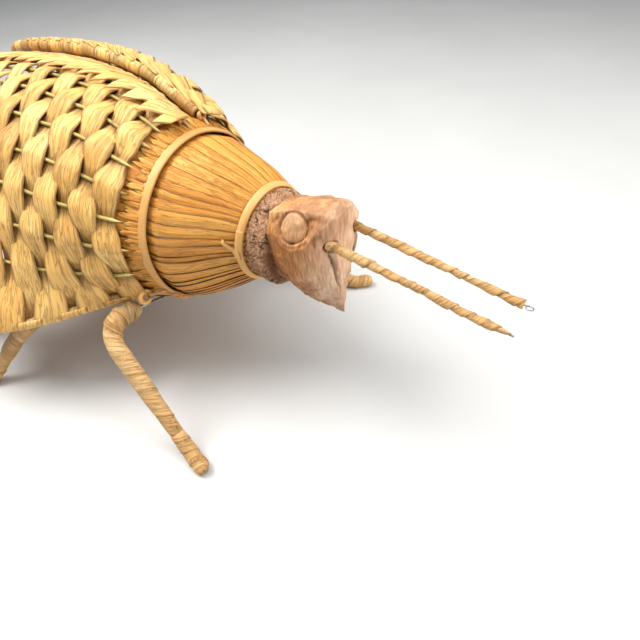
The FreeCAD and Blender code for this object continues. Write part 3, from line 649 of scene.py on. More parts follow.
def wood_material(name):
    """Carved branch wood: grain, orange heartwood round the eyes and greyer cut faces, with a painted
    highlight on top and painted shade in grooves and underneath.
    """
    wood = Shading(name)
    coords = wood.object_place()
    grain = wood.noise(coords, (900, 420, 90), 5.0, 0.62)
    rings = wood.noise(coords, (95, 60, 22), 3.0, 0.5, 3.0)
    patch = wood.noise(coords, (34, 40, 26), 3.0, 0.5, 11.0)
    level = wood.plus(wood.times(grain, 0.45), wood.times(rings, 0.40))
    level = wood.plus(level, wood.times(patch, 0.35))
    warm = wood.ramp(level, (0.42, (0.21, 0.065, 0.012)), (0.58, (0.38, 0.145, 0.034)),
                     (0.75, (0.74, 0.385, 0.135)))
    grey = wood.ramp(level, (0.42, (0.33, 0.155, 0.078)), (0.58, (0.64, 0.36, 0.205)),
                     (0.75, (0.92, 0.66, 0.46)))
    zone = wood.nodes.new("ShaderNodeClamp")
    spread = wood.plus(wood.shade("ripe"), wood.times(patch, 0.5))
    wood.feed(zone.inputs[0], wood.maths("SUBTRACT", spread, 0.25))
    colour = wood.blend(zone.outputs[0], warm, grey)
    # The tone mask lightens: on the head it holds a painted highlight along the top, lighter eye domes and
    # random patches.
    colour = wood.blend(wood.times(wood.shade("tone"), 0.55), colour, (0.84, 0.62, 0.42))
    # Painted shade: the dark mask darkens grooves, sockets, the notch, the lip line, the back edge and the
    # underside.
    colour = wood.blend(wood.shade("shade_and_marks"), colour, (0.13, 0.055, 0.025))
    marks = wood.noise(coords, (700, 300, 60), 2.0, 0.5, 5.0)
    return wood.done(colour, 0.58, wood.plus(grain, marks), 0.00035)


def bark_material(name):
    """Cork-like bark: pinkish grey and pitted, with painted shade darkening its cracks and pits."""
    bark = Shading(name)
    coords = bark.object_place()
    coarse = bark.noise(coords, (260, 260, 260), 5.0, 0.7)
    fine = bark.noise(coords, (1100, 1100, 1100), 4.0, 0.7, 5.0)
    level = bark.plus(bark.times(coarse, 0.55), bark.times(fine, 0.5))
    colour = bark.ramp(level, (0.36, (0.12, 0.05, 0.024)), (0.50, (0.31, 0.15, 0.075)),
                       (0.66, (0.60, 0.36, 0.20)))
    # Painted shade: the crack and pit mask darkens the recesses nearly to black.
    colour = bark.blend(bark.shade("shade_and_marks"), colour, (0.035, 0.018, 0.013))
    return bark.done(colour, 0.88, level, 0.0009)


# The sixth colour of each leaf is the dark of its veins, streaks and spots, and of the painted shade along
# laps and edges.
HUSK = leaf_material(
    "palm_husk", (0.54, 0.25, 0.055), (0.92, 0.53, 0.15), (1.0, 0.74, 0.29), (0.66, 0.50, 0.19),
    (0.12, 0.05, 0.014), (0.035, 0.9), 0.50, 0.0005, 0.0, 0.28)
WRAP = leaf_material(
    "wrapped_husk", (0.38, 0.18, 0.05), (0.62, 0.35, 0.125), (0.80, 0.53, 0.235), (0.46, 0.33, 0.15),
    (0.10, 0.04, 0.014), (0.06, 1.3), 0.48, 0.0004, 0.0, 0.16)
BLADE = leaf_material(
    "palm_blade", (0.46, 0.155, 0.018), (0.73, 0.295, 0.040), (0.92, 0.48, 0.10), (0.90, 0.66, 0.17),
    (0.055, 0.018, 0.006), (0.014, 1.3), 0.40, 0.0003, 0.5, 0.14)
CANE = leaf_material(
    "split_cane", (0.46, 0.20, 0.05), (0.73, 0.385, 0.115), (0.87, 0.54, 0.205), (0.70, 0.48, 0.2),
    (0.10, 0.045, 0.018), (0.025, 1.6), 0.45, 0.00025)
STAKE = leaf_material(
    "green_cane", (0.24, 0.16, 0.035), (0.50, 0.38, 0.095), (0.72, 0.59, 0.22), (0.80, 0.66, 0.26),
    (0.10, 0.05, 0.015), (0.06, 2.4), 0.42, 0.0002)
CAGE_CANE = solid_cane_material("cage_cane", (0.36, 0.20, 0.07), (0.62, 0.40, 0.17))
STEEL = steel_material("steel_wire")
WOOD = wood_material("carved_wood")
BARK = bark_material("bark")


# ---------------------------------------------------------------- the body's blades


def blade_edges(rng, count, spread):
    """Start angles of uneven blades round the body."""
    widths = rng.uniform(1 - spread, 1 + spread, count)
    return np.concatenate([[0], np.cumsum(widths)]) * 2 * pi / widths.sum()


def body_blade(piece, stations, radii, start, end, rng, tone=None, columns=11, sway=0.012):
    """One blade along the body: crowned and ribbed, its leading edge over the next blade."""
    across = np.linspace(-1, 1, columns)
    middle, half = (start + end) / 2, (end - start) / 2
    lap = 1.16 + 0.05 * waver(stations, rng, 60)
    lean = waver(stations, rng, 110, sway)
    angles = middle + lean[:, None] + half * lap[:, None] * across[None]
    rib = 0.07 * np.cos(across * rng.uniform(9, 14) + rng.uniform(0, 6))
    fold = 0.22 * np.abs(across - rng.uniform(-0.6, 0.6)) * waver(stations, rng, 70)[:, None]
    crown = 0.5 * (1 - across**2) + BLADE_TILT * across + rib
    surface = radii[:, None] + crown[None] + fold + waver(stations, rng, 45, 0.12)[:, None]
    grid = round_axis(stations[:, None], surface, angles)
    width = half * float(np.max(radii))
    u = stations[:, None] + rng.uniform(0, 400)
    v = across[None] * width + rng.uniform(0, 400)
    tone = rng.uniform(0.1, 0.95) if tone is None else tone
    # Painted shade: the blade's side edges are darkened where the gap to the next blade lies.
    edge = smooth_step(np.abs(across), 0.72, 0.98)[None] * 0.95
    piece.slab(grid, BLADE_THICK, u, v, tone, edge)


def make_thorax():
    """Blades from the collar under the hoop to the neck band, and the cut ends behind the hoop."""
    rng = np.random.default_rng(SEED)
    piece = Piece()
    stations = np.concatenate([np.linspace(-HOOP_WIDTH, 6, 9), np.linspace(9, BLADE_END, 26)])
    outer = thorax_radius(np.maximum(stations, 0)) - 0.9
    sink = 2.3 * smooth_step(stations, 7, -1)
    edges = blade_edges(rng, 46, 0.45)
    for number, (start, end) in enumerate(zip(edges, edges[1:])):
        layer = (0.0, 0.25, 0.1)[number % 3]
        body_blade(piece, stations, outer - sink - layer, start, end, rng)
    collar_ends(piece, rng)
    piece.reshape(neck_turn)
    piece.build("thorax_palm_blades", "insect_body", "palm_blade", BLADE, "thorax_blades")


def collar_ends(piece, rng):
    """The blades' cut rear ends, splintered, that stick out behind the hoop."""
    count = 150
    for number in range(count):
        middle = 2 * pi * (number + rng.uniform(-0.3, 0.3)) / count
        reach = rng.uniform(9.5, COLLAR - 3) if number % 4 else rng.uniform(COLLAR - 4, COLLAR + 1)
        back = np.linspace(HOOP_WIDTH - 2.5, reach, 9)
        half = pi / count * rng.uniform(0.95, 1.7)
        taper = half * (1 - 0.85 * smooth_step(back, reach - rng.uniform(2, 6), reach))
        lean = rng.uniform(-0.02, 0.02) * smooth_step(back, 6, reach)
        across = np.linspace(-1, 1, 4)
        angles = middle + lean[:, None] + taper[:, None] * across[None]
        lift = body_radius(back) + LEAF * 0.75 + rng.uniform(0.0, 0.7)
        lift = lift + rng.uniform(-0.2, 0.8) * smooth_step(back, 8, reach)
        surface = lift[:, None] + 0.15 * (1 - across[None] ** 2)
        grid = round_axis(-back[:, None], surface, angles)
        fresh = rng.uniform(0.2, 1.0) ** 2
        ripe = fresh * smooth_step(back, reach - 5, reach)[:, None]
        u = back[:, None] + number * 7
        dark = 0.8 * smooth_step(back, reach - 0.8, reach)[:, None] * (number % 5 == 0)
        piece.slab(grid, 0.35, u, across[None] * 2 + number * 5, rng.uniform(0.2, 0.8), dark, ripe)


def make_abdomen():
    rng = np.random.default_rng(SEED + 1)
    piece = Piece()
    back = np.concatenate([np.linspace(3, TAIL_BACK, 70), np.linspace(258, TUFT_BACKS[-1], 7)])
    edges = blade_edges(rng, BLADES + 8, 0.4)
    for start, end in zip(edges, edges[1:]):
        body_blade(piece, -back, body_radius(back) + 0.25, start, end, rng, tone=rng.uniform(0, 0.7),
                   columns=9, sway=0.006)
    piece.build("abdomen_palm_blades", "insect_body", "palm_blade", BLADE, "abdomen_blades")


# ---------------------------------------------------------------- hoop and bands


def band_round(piece, angles, middle, width, radius, rise, slope, rng, thick=HOOP_THICK, crown=0.35,
               sway=0.35, tone=0.6):
    """A flat band wound round the body axis, its width along the axis."""
    across = np.linspace(-1, 1, 9)
    length = angles * radius
    shift = waver(length, rng, 190, sway)
    half = width / 2 * (1 + 0.05 * waver(length, rng, 60))
    along = middle + shift[:, None] + half[:, None] * across[None]
    lift = (radius + rise)[:, None] - thick / 2 + crown * (1 - across[None] ** 2) + slope * across[None]
    lift = lift + 0.12 * waver(length, rng, 40)[:, None]
    grid = round_axis(along, lift, angles[:, None])
    # Painted shade along the band's two edges.
    edge = smooth_step(np.abs(across), 0.93, 1.0)[None] * 0.35
    tone = tone + 0.2 * waver(length, rng, 120)[:, None]
    piece.slab(grid, thick * 0.85, length[:, None], across[None] * width / 2, tone, edge)


def tie_loop(piece, centre, axis, outward, ring, half_width, turns, rng, tone=0.5):
    """A thin strand wound in a few turns about a centre, its turns side by side."""
    angles = np.linspace(0, 2 * pi * turns, int(26 * turns))
    axis, outward = unit(axis), unit(outward)
    other = np.cross(axis, outward)
    drift = (angles / (2 * pi) - turns / 2) * half_width * 1.9
    path = (centre + np.cos(angles)[:, None] * outward * ring[0] + np.sin(angles)[:, None] * other * ring[1]
            + drift[:, None] * axis)
    swell = half_width * (0.75 + 0.2 * waver(angles * 5, rng, 9))
    plain_rod(piece, path, np.maximum(swell, 0.3), 8, tone)


def make_hoop():
    """The thorax hoop: a crowned split-cane band whose lapped ends are tied low on the right."""
    rng = np.random.default_rng(SEED + 2)
    piece = Piece()
    lap_at = radians(228)
    angles = np.linspace(lap_at - radians(12), lap_at + 2 * pi + radians(6), 300)
    rise = 0.85 * smooth_step(angles, lap_at + 2 * pi - radians(16), lap_at + 2 * pi - radians(8))
    rise -= 0.25 * smooth_step(angles, lap_at + radians(10), lap_at)
    middle = -HOOP_WIDTH / 2 + 0.2
    band_round(piece, angles, middle, HOOP_WIDTH + 0.9, HOOP_RADIUS, rise, -0.8, rng, crown=0.55, tone=0.45)
    out = np.array([0, sin(lap_at), cos(lap_at)])
    along = np.array([0, cos(lap_at), -sin(lap_at)])
    for offset in (-3.5, 0.5):
        centre = out * (HOOP_RADIUS - 0.2) + along * offset + np.array([-HOOP_WIDTH / 2, 0, 0])
        tie_loop(piece, centre, along, out, (1.9, HOOP_WIDTH / 2 + 1.0), 0.7, 2.0, rng)
    piece.build("thorax_cane_hoop", "insect_body", "cane", CANE, "thorax_hoop")


def make_neck_band():
    """The neck band: two laps of a wide strip and its end tucked back between the blades."""
    rng = np.random.default_rng(SEED + 3)
    piece = Piece()
    middle = (NECK_FRONT + NECK_BACK) / 2
    radius = NECK_RADIUS + NECK_FLARE / 2
    start = radians(280)
    angles = np.linspace(start, start + 2 * pi + radians(20), 220)
    rise = 0.55 * smooth_step(angles, start + 2 * pi - radians(25), start + 2 * pi)
    slope = -NECK_FLARE / 2 * NECK_BAND_WIDTH / (NECK_FRONT - NECK_BACK)
    band_round(piece, angles, middle, NECK_BAND_WIDTH, radius, rise, slope, rng, 1.1, 0.6, 0.3, 0.55)
    tuck = np.linspace(0, 1, 26)
    turn = start - radians(12) + radians(20) * tuck
    forward = middle - 0.6 - 8.5 * smooth_step(tuck, 0.1, 1.0)
    lift = np.where(forward < NECK_BACK, thorax_radius(forward) + 0.55, radius + 1.2)
    lift = lift - 1.1 * smooth_step(tuck, 0.8, 1.0)
    across = np.linspace(-1, 1, 7)
    half = 2.8 - 1.9 * tuck
    centre = round_axis(forward, lift, turn)
    direction = unit(np.gradient(centre, axis=0))
    outward = unit(centre * [0, 1, 1])
    side = unit(np.cross(direction, outward))
    grid = centre[:, None] + side[:, None] * (half[:, None] * across)[..., None]
    grid = grid + outward[:, None] * (0.35 * (1 - across**2))[None, :, None]
    # Painted shade along the tucked end's edges.
    edge = smooth_step(np.abs(across), 0.85, 1.0)[None] * 0.5
    piece.slab(grid, 0.8, tuck[:, None] * 16, across[None] * 2.5, 0.6, edge)
    piece.reshape(neck_turn)
    piece.build("neck_husk_band", "insect_body", "cane", CANE, "neck_band")


def make_tail_band():
    rng = np.random.default_rng(SEED + 4)
    piece = Piece()
    low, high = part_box("tail_band")
    middle = (low.x + high.x) / 2 / MM - AXIS[0]
    radius = (high.z - low.z) / 2 / MM
    for offset, start in ((-1.9, 0.3), (0.0, 2.1), (1.9, 4.4)):
        angles = np.linspace(start, start + 2 * pi + 0.35, 90)
        rise = 0.5 * smooth_step(angles, start + 2 * pi - 0.4, start + 2 * pi)
        band_round(piece, angles, middle + offset, 2.2, radius - 0.3, rise, 0.0, rng, 0.9, 0.3, 0.15)
    piece.build("tail_husk_band", "insect_body", "cane", CANE, "tail_band")


def make_bark():
    """A ring of cork-like bark with cracks and pits, between the neck band and the head."""
    rows, columns = 40, 420
    along = np.linspace(0, 1, rows)
    stations = BARK_BACK + (BARK_FRONT - BARK_BACK - 0.3) * along
    angles = 2 * pi * np.arange(columns) / columns
    outside = np.zeros((rows, columns))
    crack = np.zeros((rows, columns))
    for i, share in enumerate(along):
        x = stations[i]
        base = BARK_RADII[0] + (BARK_RADII[1] - BARK_RADII[0]) * share
        rounding = 1.5 * (max(0, 0.12 - share) / 0.12) ** 2 + 1.1 * (max(0, share - 0.9) / 0.1) ** 2
        for j, angle in enumerate(angles):
            spot = Vector((x, base * sin(angle), base * cos(angle))) * 0.16
            cell = noise.voronoi(spot * 0.42 + noise.noise_vector(spot * 1.3) * 0.5)[0]
            split = max(0.0, 1 - (cell[1] - cell[0]) / 0.06)
            pits = max(0.0, noise.noise(spot * 7.5) - 0.20) * 2.4
            lumps = 0.55 * noise.noise(spot * 1.5) + 0.45 * noise.noise(spot * 4.2)
            outside[i, j] = base - rounding + lumps - 0.9 * split - 0.8 * pits
            crack[i, j] = min(1.0, split * 0.95 + pits * 0.5)
    skin = round_axis(stations[:, None], outside, angles)
    inside = round_axis(stations[:, None], BARK_INSIDE, angles)
    depths = np.linspace(0.15, 0.9, 6)[:, None, None]
    face = skin[-1] * (1 - 0.4 * depths * np.array([0, 1, 1]))
    face_crack = crack[-1:-7:-1]
    face[..., 0] += 0.8 - 0.9 * face_crack
    rings = np.concatenate([skin, face, inside[::-1]]).transpose(1, 0, 2)
    # The crack and pit mask carries painted shade in the bark's recesses, on the skin and on the front face.
    shade = np.concatenate([crack, face_crack, np.zeros_like(crack)]).T
    u = angles[:, None] * 30
    v = np.linspace(0, 40, rings.shape[1] + 1)[None]
    piece = Piece()
    piece.tube(rings, u, v, 0.5, shade, 0.0, True)
    piece.reshape(neck_turn)
    piece.build("neck_bark_ring", "insect_body", "bark", BARK, "neck_bark")


# ---------------------------------------------------------------- head


def copied_surface(node, voxel, relax):
    """A dense, evenly meshed copy of a CAD node's surface, in body axis millimetres."""
    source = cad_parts[node]
    copy = bpy.data.objects.new("copy", source.data.copy())
    bpy.context.scene.collection.objects.link(copy)
    remesh = copy.modifiers.new("remesh", "REMESH")
    remesh.mode = "VOXEL"
    remesh.voxel_size = voxel * MM
    soften = copy.modifiers.new("soften", "SMOOTH")
    soften.factor = 0.5
    soften.iterations = relax
    graph = bpy.context.evaluated_depsgraph_get()
    mesh = bpy.data.meshes.new_from_object(copy.evaluated_get(graph))
    bpy.data.objects.remove(copy)
    points = np.zeros(len(mesh.vertices) * 3)
    mesh.vertices.foreach_get("co", points)
    normals = np.zeros(len(mesh.vertices) * 3)
    mesh.vertices.foreach_get("normal", normals)
    mesh.materials.clear()
    return mesh, points.reshape(-1, 3) / MM - AXIS, normals.reshape(-1, 3)


def flat_cut(points, spot, normal, radius, depth):
    """Pares a flat facet: points above the cutting plane within a radius come down to it."""
    offset = points - spot
    height = offset @ normal
    away = np.linalg.norm(offset - height[:, None] * normal, axis=1)
    over = np.maximum(height + depth, 0) * (np.abs(height) < 2.5) * smooth_step(away, radius, radius * 0.85)
    return points - normal * over[:, None]


def trim_plane(points, spot, direction):
    """Cuts away everything beyond a plane."""
    direction = unit(direction)
    beyond = np.maximum((points - spot) @ direction, 0)
    return points - direction * beyond[:, None]


def carve_eye(points, side, tone, shade_and_marks):
    """A round eye: a ring groove with a low faceted dome in it."""
    centre = np.array([EYE_CENTRE[0], side * EYE_CENTRE[1], EYE_CENTRE[2]])
    normal = unit([EYE_NORMAL[0], side * EYE_NORMAL[1], EYE_NORMAL[2]])
    offset = points - centre
    height = offset @ normal
    flat = offset - height[:, None] * normal
    away = np.linalg.norm(flat, axis=1)
    near = np.abs(height) < 9
    dome = 2.3 * (1 - (away / EYE_RADIUS) ** 2) - 0.2
    ridge = 1.6 - 0.32 * np.abs(flat @ unit([0.75, 0, -0.6]))
    dome = np.minimum(dome, ridge)
    groove = -1.5 * ridge_line(away - EYE_RADIUS - 0.6, 0.85)
    groove -= 0.6 * ridge_line(away - EYE_RADIUS - 3.6, 0.9)
    bank = -0.7 * smooth_step(away, EYE_RADIUS + 5, EYE_RADIUS + 1)
    inside = away < EYE_RADIUS
    change = np.where(inside, dome, 0) + groove + np.where(inside, 0, bank)
    points = points + normal * (change * near)[:, None]
    # Painted shade in the eye's grooves, darker on the lower rear side away from the light.
    line = ridge_line(away - EYE_RADIUS - 0.5, 0.55) * near
    rear = smooth_step(-offset[:, 0] - offset[:, 2] * 0.5, -9, 7)
    shade_and_marks = np.maximum(shade_and_marks, line * (0.22 + 0.6 * rear))
    outer = ridge_line(away - EYE_RADIUS - 3.4, 0.5) * near
    shade_and_marks = np.maximum(shade_and_marks, outer * 0.22 * rear)
    tone = np.maximum(tone, 0.35 * inside * near)
    return points, tone, shade_and_marks


def ridge_line(offset, width):
    """1 on a line, falling smoothly to 0 over a width on both sides."""
    return np.exp(-((offset / width) ** 2))


def make_head():
    """The carved head: knife facets, eyes, chisel marks, a notch and the antenna sockets, with painted shade
    in its grooves and underneath and a painted highlight on top.
    """
    rng = np.random.default_rng(SEED + 5)
    mesh, points, normals = copied_surface("head_block", HEAD_VOXEL, 7)
    front = HEAD_BACK + HEAD_LENGTH
    outer = points[:, 0] > HEAD_BACK - 0.5
    shaped = points[outer]
    normals = normals[outer]
    shaped = trim_plane(shaped, [front - 4, -16, 19], [0.74, -0.66, 0.02])
    shaped = trim_plane(shaped, [front - 1.5, 0, 38.5], [0.75, 0, 0.66])
    for _ in range(HEAD_FACETS):
        spot = shaped[rng.integers(len(shaped))]
        near = np.linalg.norm(shaped - spot, axis=1) < 3.5
        normal = unit(normals[near].mean(0) + rng.normal(0, 0.05, 3))
        shaped = flat_cut(shaped, spot, normal, rng.uniform(4, 8), rng.uniform(0.05, 0.32))
    tone = np.zeros(len(shaped))
    shade_and_marks = np.zeros(len(shaped))
    for side in (-1, 1):
        shaped, tone, shade_and_marks = carve_eye(shaped, side, tone, shade_and_marks)
    x, y, z = shaped.T
    for side in (-1, 1):
        root = np.array([front - 3.0, side * ANTENNA_SPREAD, ANTENNA_HEIGHT])
        away = np.linalg.norm((shaped - root) * [0.4, 1, 1], axis=1)
        shaped[:, 0] -= 2.2 * smooth_step(away, 4.6, 2.8)
        # Painted shade in the antenna socket.
        shade_and_marks = np.maximum(shade_and_marks, 0.85 * smooth_step(away, 4.8, 3.0))
        below = (ANTENNA_HEIGHT - z) / (ANTENNA_HEIGHT + CHIN_DROP)
        split_y = side * (8.0 + 8.5 * (1 - np.clip(below, 0, 1)) ** 3)
        split = ridge_line(y - split_y, 0.6 + 1.6 * ridge_line(below - 0.36, 0.16))
        split = split * smooth_step(below, 0.05, 0.12) * smooth_step(below, 0.85, 0.7)
        split = split * smooth_step(x, front - 9, front - 4)
        shaped[:, 0] -= NOTCH_DEPTH * split
        # Painted shade in the notch.
        shade_and_marks = np.maximum(shade_and_marks, 0.9 * split)
    lip_height = z - LIP_SLOPE * (x - LIP_POINT[0]) - LIP_POINT[1]
    cheek = smooth_step(lip_height, 0, -1.2) * smooth_step(z, -CHIN_DROP, -CHIN_DROP + 6)
    shaped[:, 1] -= np.sign(y) * cheek * 2.6 * smooth_step(np.abs(y), 1, 5)
    shaped[:, 0] -= 1.0 * cheek
    lip = ridge_line(lip_height + 0.4, 0.6) * (np.abs(y) > 2.5)
    # Painted shade along the lip line.
    shade_and_marks = np.maximum(shade_and_marks, 0.75 * lip)
    marks = np.array([noise.noise(Vector((p[0] * 0.5, p[1] * 0.5, p[2] * 0.09))) for p in shaped])
    ridge = np.array([noise.noise(Vector(p * 0.28)) for p in shaped])
    facing = smooth_step(x, front - 16, front - 3)
    shaped = shaped + normals * ((0.22 + 0.40 * facing) * marks + 0.28 * ridge)[:, None]
    nick = np.linalg.norm(shaped - NICK, axis=1)
    shaped[:, 2] -= 0.8 * smooth_step(nick, 1.4, 0.6)
    # Painted shade in the nick, along the back edge at the bark and towards the bottom of the head.
    shade_and_marks = np.maximum(shade_and_marks, 0.8 * smooth_step(nick, 1.3, 0.7))
    shade_and_marks = np.maximum(shade_and_marks, 0.7 * smooth_step(x, HEAD_BACK + 1.6, HEAD_BACK))
    shade_and_marks = np.maximum(shade_and_marks, 0.24 * smooth_step(z, 0, -26))
    grey = smooth_step(x + 0.25 * np.abs(y) - 0.12 * z, front - 15, front + 1)
    grey = np.clip(grey + 0.15 * smooth_step(z, 12, -22), 0, 1)
    # Painted highlight: the tone rises towards the top of the head; the ridge noise adds random tone.
    tone = np.clip(tone + 0.35 * smooth_step(z, 30, 44) + 0.25 * ridge, 0, 1)
    points[outer] = shaped
    mesh.vertices.foreach_set("co", to_frame(points).ravel())
    for label, values in (("tone", tone), ("shade_and_marks", shade_and_marks), ("ripe", grey)):
        every = np.zeros(len(points), np.float32)
        every[outer] = values
        mesh.attributes.new(label, "FLOAT", "POINT").data.foreach_set("value", every)
    place_piece("carved_head", mesh, "insect_body", "carved_wood", WOOD, "head_block")


# ---------------------------------------------------------------- antennae and legs


def antenna_line(side, start, end):
    droop = radians(ANTENNA_DROOP)
    ahead = np.array([cos(droop), 0, -sin(droop)])
    root = np.array([HEAD_BACK + HEAD_LENGTH, side * ANTENNA_SPREAD, ANTENNA_HEIGHT])
    return root + np.linspace(start, end, int((end - start) / 0.45))[:, None] * ahead


def make_antenna(name, side):
    """A straight wire wound with husk; the root is frayed and the tip tapers or opens."""
    rng = np.random.default_rng(SEED + 6 + side)
    path = antenna_line(side, -5.0, ANTENNA_LENGTH + 1)
    lengths = path_lengths(path)
    sway = waver(lengths, rng, 95, 0.45)
    path = path + np.stack([0 * sway, sway, waver(lengths, rng, 80, 0.4)], -1)
    radii = np.interp(lengths, (0, ANTENNA_LENGTH), ANTENNA_RADII) + 0.25
    radii += 0.35 * smooth_step(lengths, 12, 2)
    if side < 0:
        radii += 0.5 * ridge_line(lengths - lengths[-1] + 16, 7)
        radii *= 0.4 + 0.6 * smooth_step(lengths, lengths[-1], lengths[-1] - 9) ** 0.7
    else:
        radii += 0.55 * smooth_step(lengths, lengths[-1] - 12, lengths[-1])
    piece = Piece()
    pitch = 8.5 if side < 0 else 10.5
    wrapped_rod(piece, path, radii, pitch, 0.75, 0.28, rng, 36, edge=0.35)
    for number in range(5):
        angle = radians(200 + number * 38)
        start = path[4] + np.array([0, sin(angle), cos(angle)]) * 1.6
        end = path[2] + np.array([rng.uniform(0.5, 3), sin(angle) * 4.4, cos(angle) * rng.uniform(3, 5)])
        fray = start + (end - start) * np.linspace(0, 1, 6)[:, None]
        plain_rod(piece, fray, np.linspace(0.9, 0.35, 6), 6, rng.uniform(0.4, 0.9))
    piece.build(f"{name}_antenna_husk", "insect_body", "palm_husk", WRAP, f"{name}_antenna_wrap")
    wire = Piece()
    rod = antenna_line(side, -9, ANTENNA_LENGTH + (3 if side < 0 else 1))
    plain_rod(wire, rod, WIRE, 10)
    if side > 0:
        curl = np.linspace(0, 1, 30)
        angle = 2 * pi * np.clip((curl - 0.35) / 0.65, 0, 1)
        ahead = np.minimum(curl / 0.35, 1) * 3.5 + 2.1 * np.sin(angle)
        loop = rod[-1] + np.stack([ahead, -1.7 * (1 - np.cos(angle)), 0.3 * curl], -1)
        plain_rod(wire, loop, 0.42, 8)
    wire.build(f"{name}_antenna_core", "insect_body", "steel_wire", STEEL, f"{name}_antenna_wire")


def leg_path(leg):
    side = -1 if leg.endswith("right") else 1
    return [np.array([x, side * out, up + GROUND]) for x, out, up in LEGS[leg]]


def leg_bend(leg, spacing=0.7):
    root, knee, heel, toe = leg_path(leg)
    return rounded_path([root, knee, heel, toe], 24, spacing)


def make_leg(leg):
    """Thigh and shin wound with a wide husk strip, and the foot wrap that laps the ankle."""
    rng = np.random.default_rng(SEED + 20 + list(LEGS).index(leg))
    root, knee, heel, _ = leg_path(leg)
    path = leg_bend(leg)
    ankle = heel + (knee - heel) * ANKLE_RISE
    at_ankle = nearest(path, ankle)
    at_knee = nearest(path, knee)
    middle = (at_knee + at_ankle) // 2
    thigh = root + (knee - root) * THIGH_BARE
    first = nearest(path, thigh)
    upper = path[first : at_ankle + 4]
    rows = np.arange(len(upper))
    marks = (0, at_knee - first, middle - first, at_ankle - first)
    radii = np.interp(rows, marks, (LEG_RADIUS, LEG_RADIUS, SHIN_RADIUS, ANKLE_RADIUS))
    radii[:8] *= np.linspace(0.35, 1, 8) ** 0.4
    piece = Piece()
    green = 0.8 * smooth_step(rows, 36, 8)[:, None]
    wrapped_rod(piece, upper, radii, 17.0, 0.8, 0.22, rng, 44, green, edge=0.4)
    for number, place in enumerate((9, 22)):
        near = upper[max(place - 6, 0) : place + 6]
        tangent = unit(near[-1] - near[0])
        out = unit(np.cross(tangent, [1, 0.2, 0.1]))
        ring = (LEG_RADIUS + 0.35, LEG_RADIUS + 0.35)
        tie_loop(piece, upper[place], tangent, out, ring, 1.1, 1.6, rng, 0.2 + 0.2 * number)
    piece.build(f"{leg}_leg_husk", "insect_body", "palm_husk", WRAP, f"{leg}_leg_wrap")
    foot = path[at_ankle - 3 :]
    rows = np.arange(len(foot))
    marks = (0, nearest(foot, heel), len(foot) - 1)
    radii = np.interp(rows, marks, (ANKLE_RADIUS + 0.7, FOOT_RADIUS, TOE_RADIUS))
    radii[-6:] *= np.linspace(1, 0.72, 6)
    piece = Piece()
    wrapped_rod(piece, foot, radii, 12.0, 0.9, 0.2, rng, 40, floor=GROUND)
    piece.build(f"{leg}_foot_husk", "insect_body", "palm_husk", WRAP, f"{leg}_foot_wrap")


def make_leg_wires():
    for pair in ("front", "middle", "hind"):
        piece = Piece()
        right = leg_bend(f"{pair}_right", 2.0)
        left = leg_bend(f"{pair}_left", 2.0)
        path = resample(np.concatenate([right[::-1], left]), 2.0)
        plain_rod(piece, path, LEG_WIRE, 10)
        piece.build(f"{pair}_leg_core", "insect_body", "steel_wire", STEEL, f"{pair}_leg_wire")


# ---------------------------------------------------------------- wings


def eye_centre(wing, share):
    """Middle of the tied eye at the lower (share 1) or upper (share 0) end of the rim rod."""
    back = WING_FRONT if share else WING_CORNER
    point = wing_point(wing, back, share)
    radius = body_radius(back) + LEAF + 0.05 + EYE_RING + EYE_WIRE + WING_CLEARANCE
    return np.array([point[0], 0, 0]) + unit(point * [0, 1, 1]) * radius


def shown_eye(wing, share):
    """Middle and radius of a bound eye as it is seen: the upper one lies low under the flaps."""
    centre = eye_centre(wing, share)
    if share:
        return centre, EYE_RING
    return centre - unit(centre * [0, 1, 1]) * 3.2, 2.4


def rim_path(wing):
    """The rim's line: from the lower eye round the rear tip to the upper eye."""
    turn = [ROUNDING_BACK + (TIP_BACK - ROUNDING_BACK) * sin(radians(step)) for step in (20, 40, 57, 72, 84)]
    lower = [24, 32, 44, 58, 80, 106, 134, ROUNDING_BACK] + turn
    upper = turn[::-1] + [ROUNDING_BACK, 130, 102, 76, 54, 36, 22]
    ends = [shown_eye(wing, share) for share in (1, 0)]
    ends = [centre + unit(centre * [0, 1, 1]) * ring for centre, ring in ends]
    points = [ends[0]] + [wing_point(wing, back, 1.0) for back in lower]
    points.append(wing_point(wing, TIP_BACK, 0.5))
    points += [wing_point(wing, back, 0.0) for back in upper] + [ends[1]]
    return smooth_curve(points, 0.9)


def make_rim(name, wing):
    """The wound rim rod, with a small bound eye at each end."""
    rng = np.random.default_rng(SEED + 30 + wing["side"])
    piece = Piece()
    path = rim_path(wing)
    ends = path_lengths(path)
    inset = np.minimum(ends, ends[-1] - ends)
    radii = RIM_WRAP - 1.3 * smooth_step(inset, 12, 1)
    radii = radii - 0.9 * smooth_step(ends, ends[-1] - 90, ends[-1] - 40)
    wrapped_rod(piece, path, radii, 6.5, 0.9, 0.18, rng, 22)
    piece.build(f"{name}_rim_husk", f"{name}_wing", "palm_husk", WRAP, f"{name}_wing_rim_wrap")
    piece = Piece()
    plain_rod(piece, path[::2], 2.0, 10)
    for share in (1, 0):
        centre, radius = shown_eye(wing, share)
        outward = unit(centre * [0, 1, 1])
        along = np.cross([1, 0, 0], outward)
        angles = np.linspace(0, 2 * pi, 49)[:-1]
        ring = centre + radius * (np.cos(angles)[:, None] * outward + np.sin(angles)[:, None] * along)
        eye_band(piece, ring, outward, along, angles, rng)
    piece.build(f"{name}_rim_rod", f"{name}_wing", "cane", CANE, f"{name}_wing_rim")


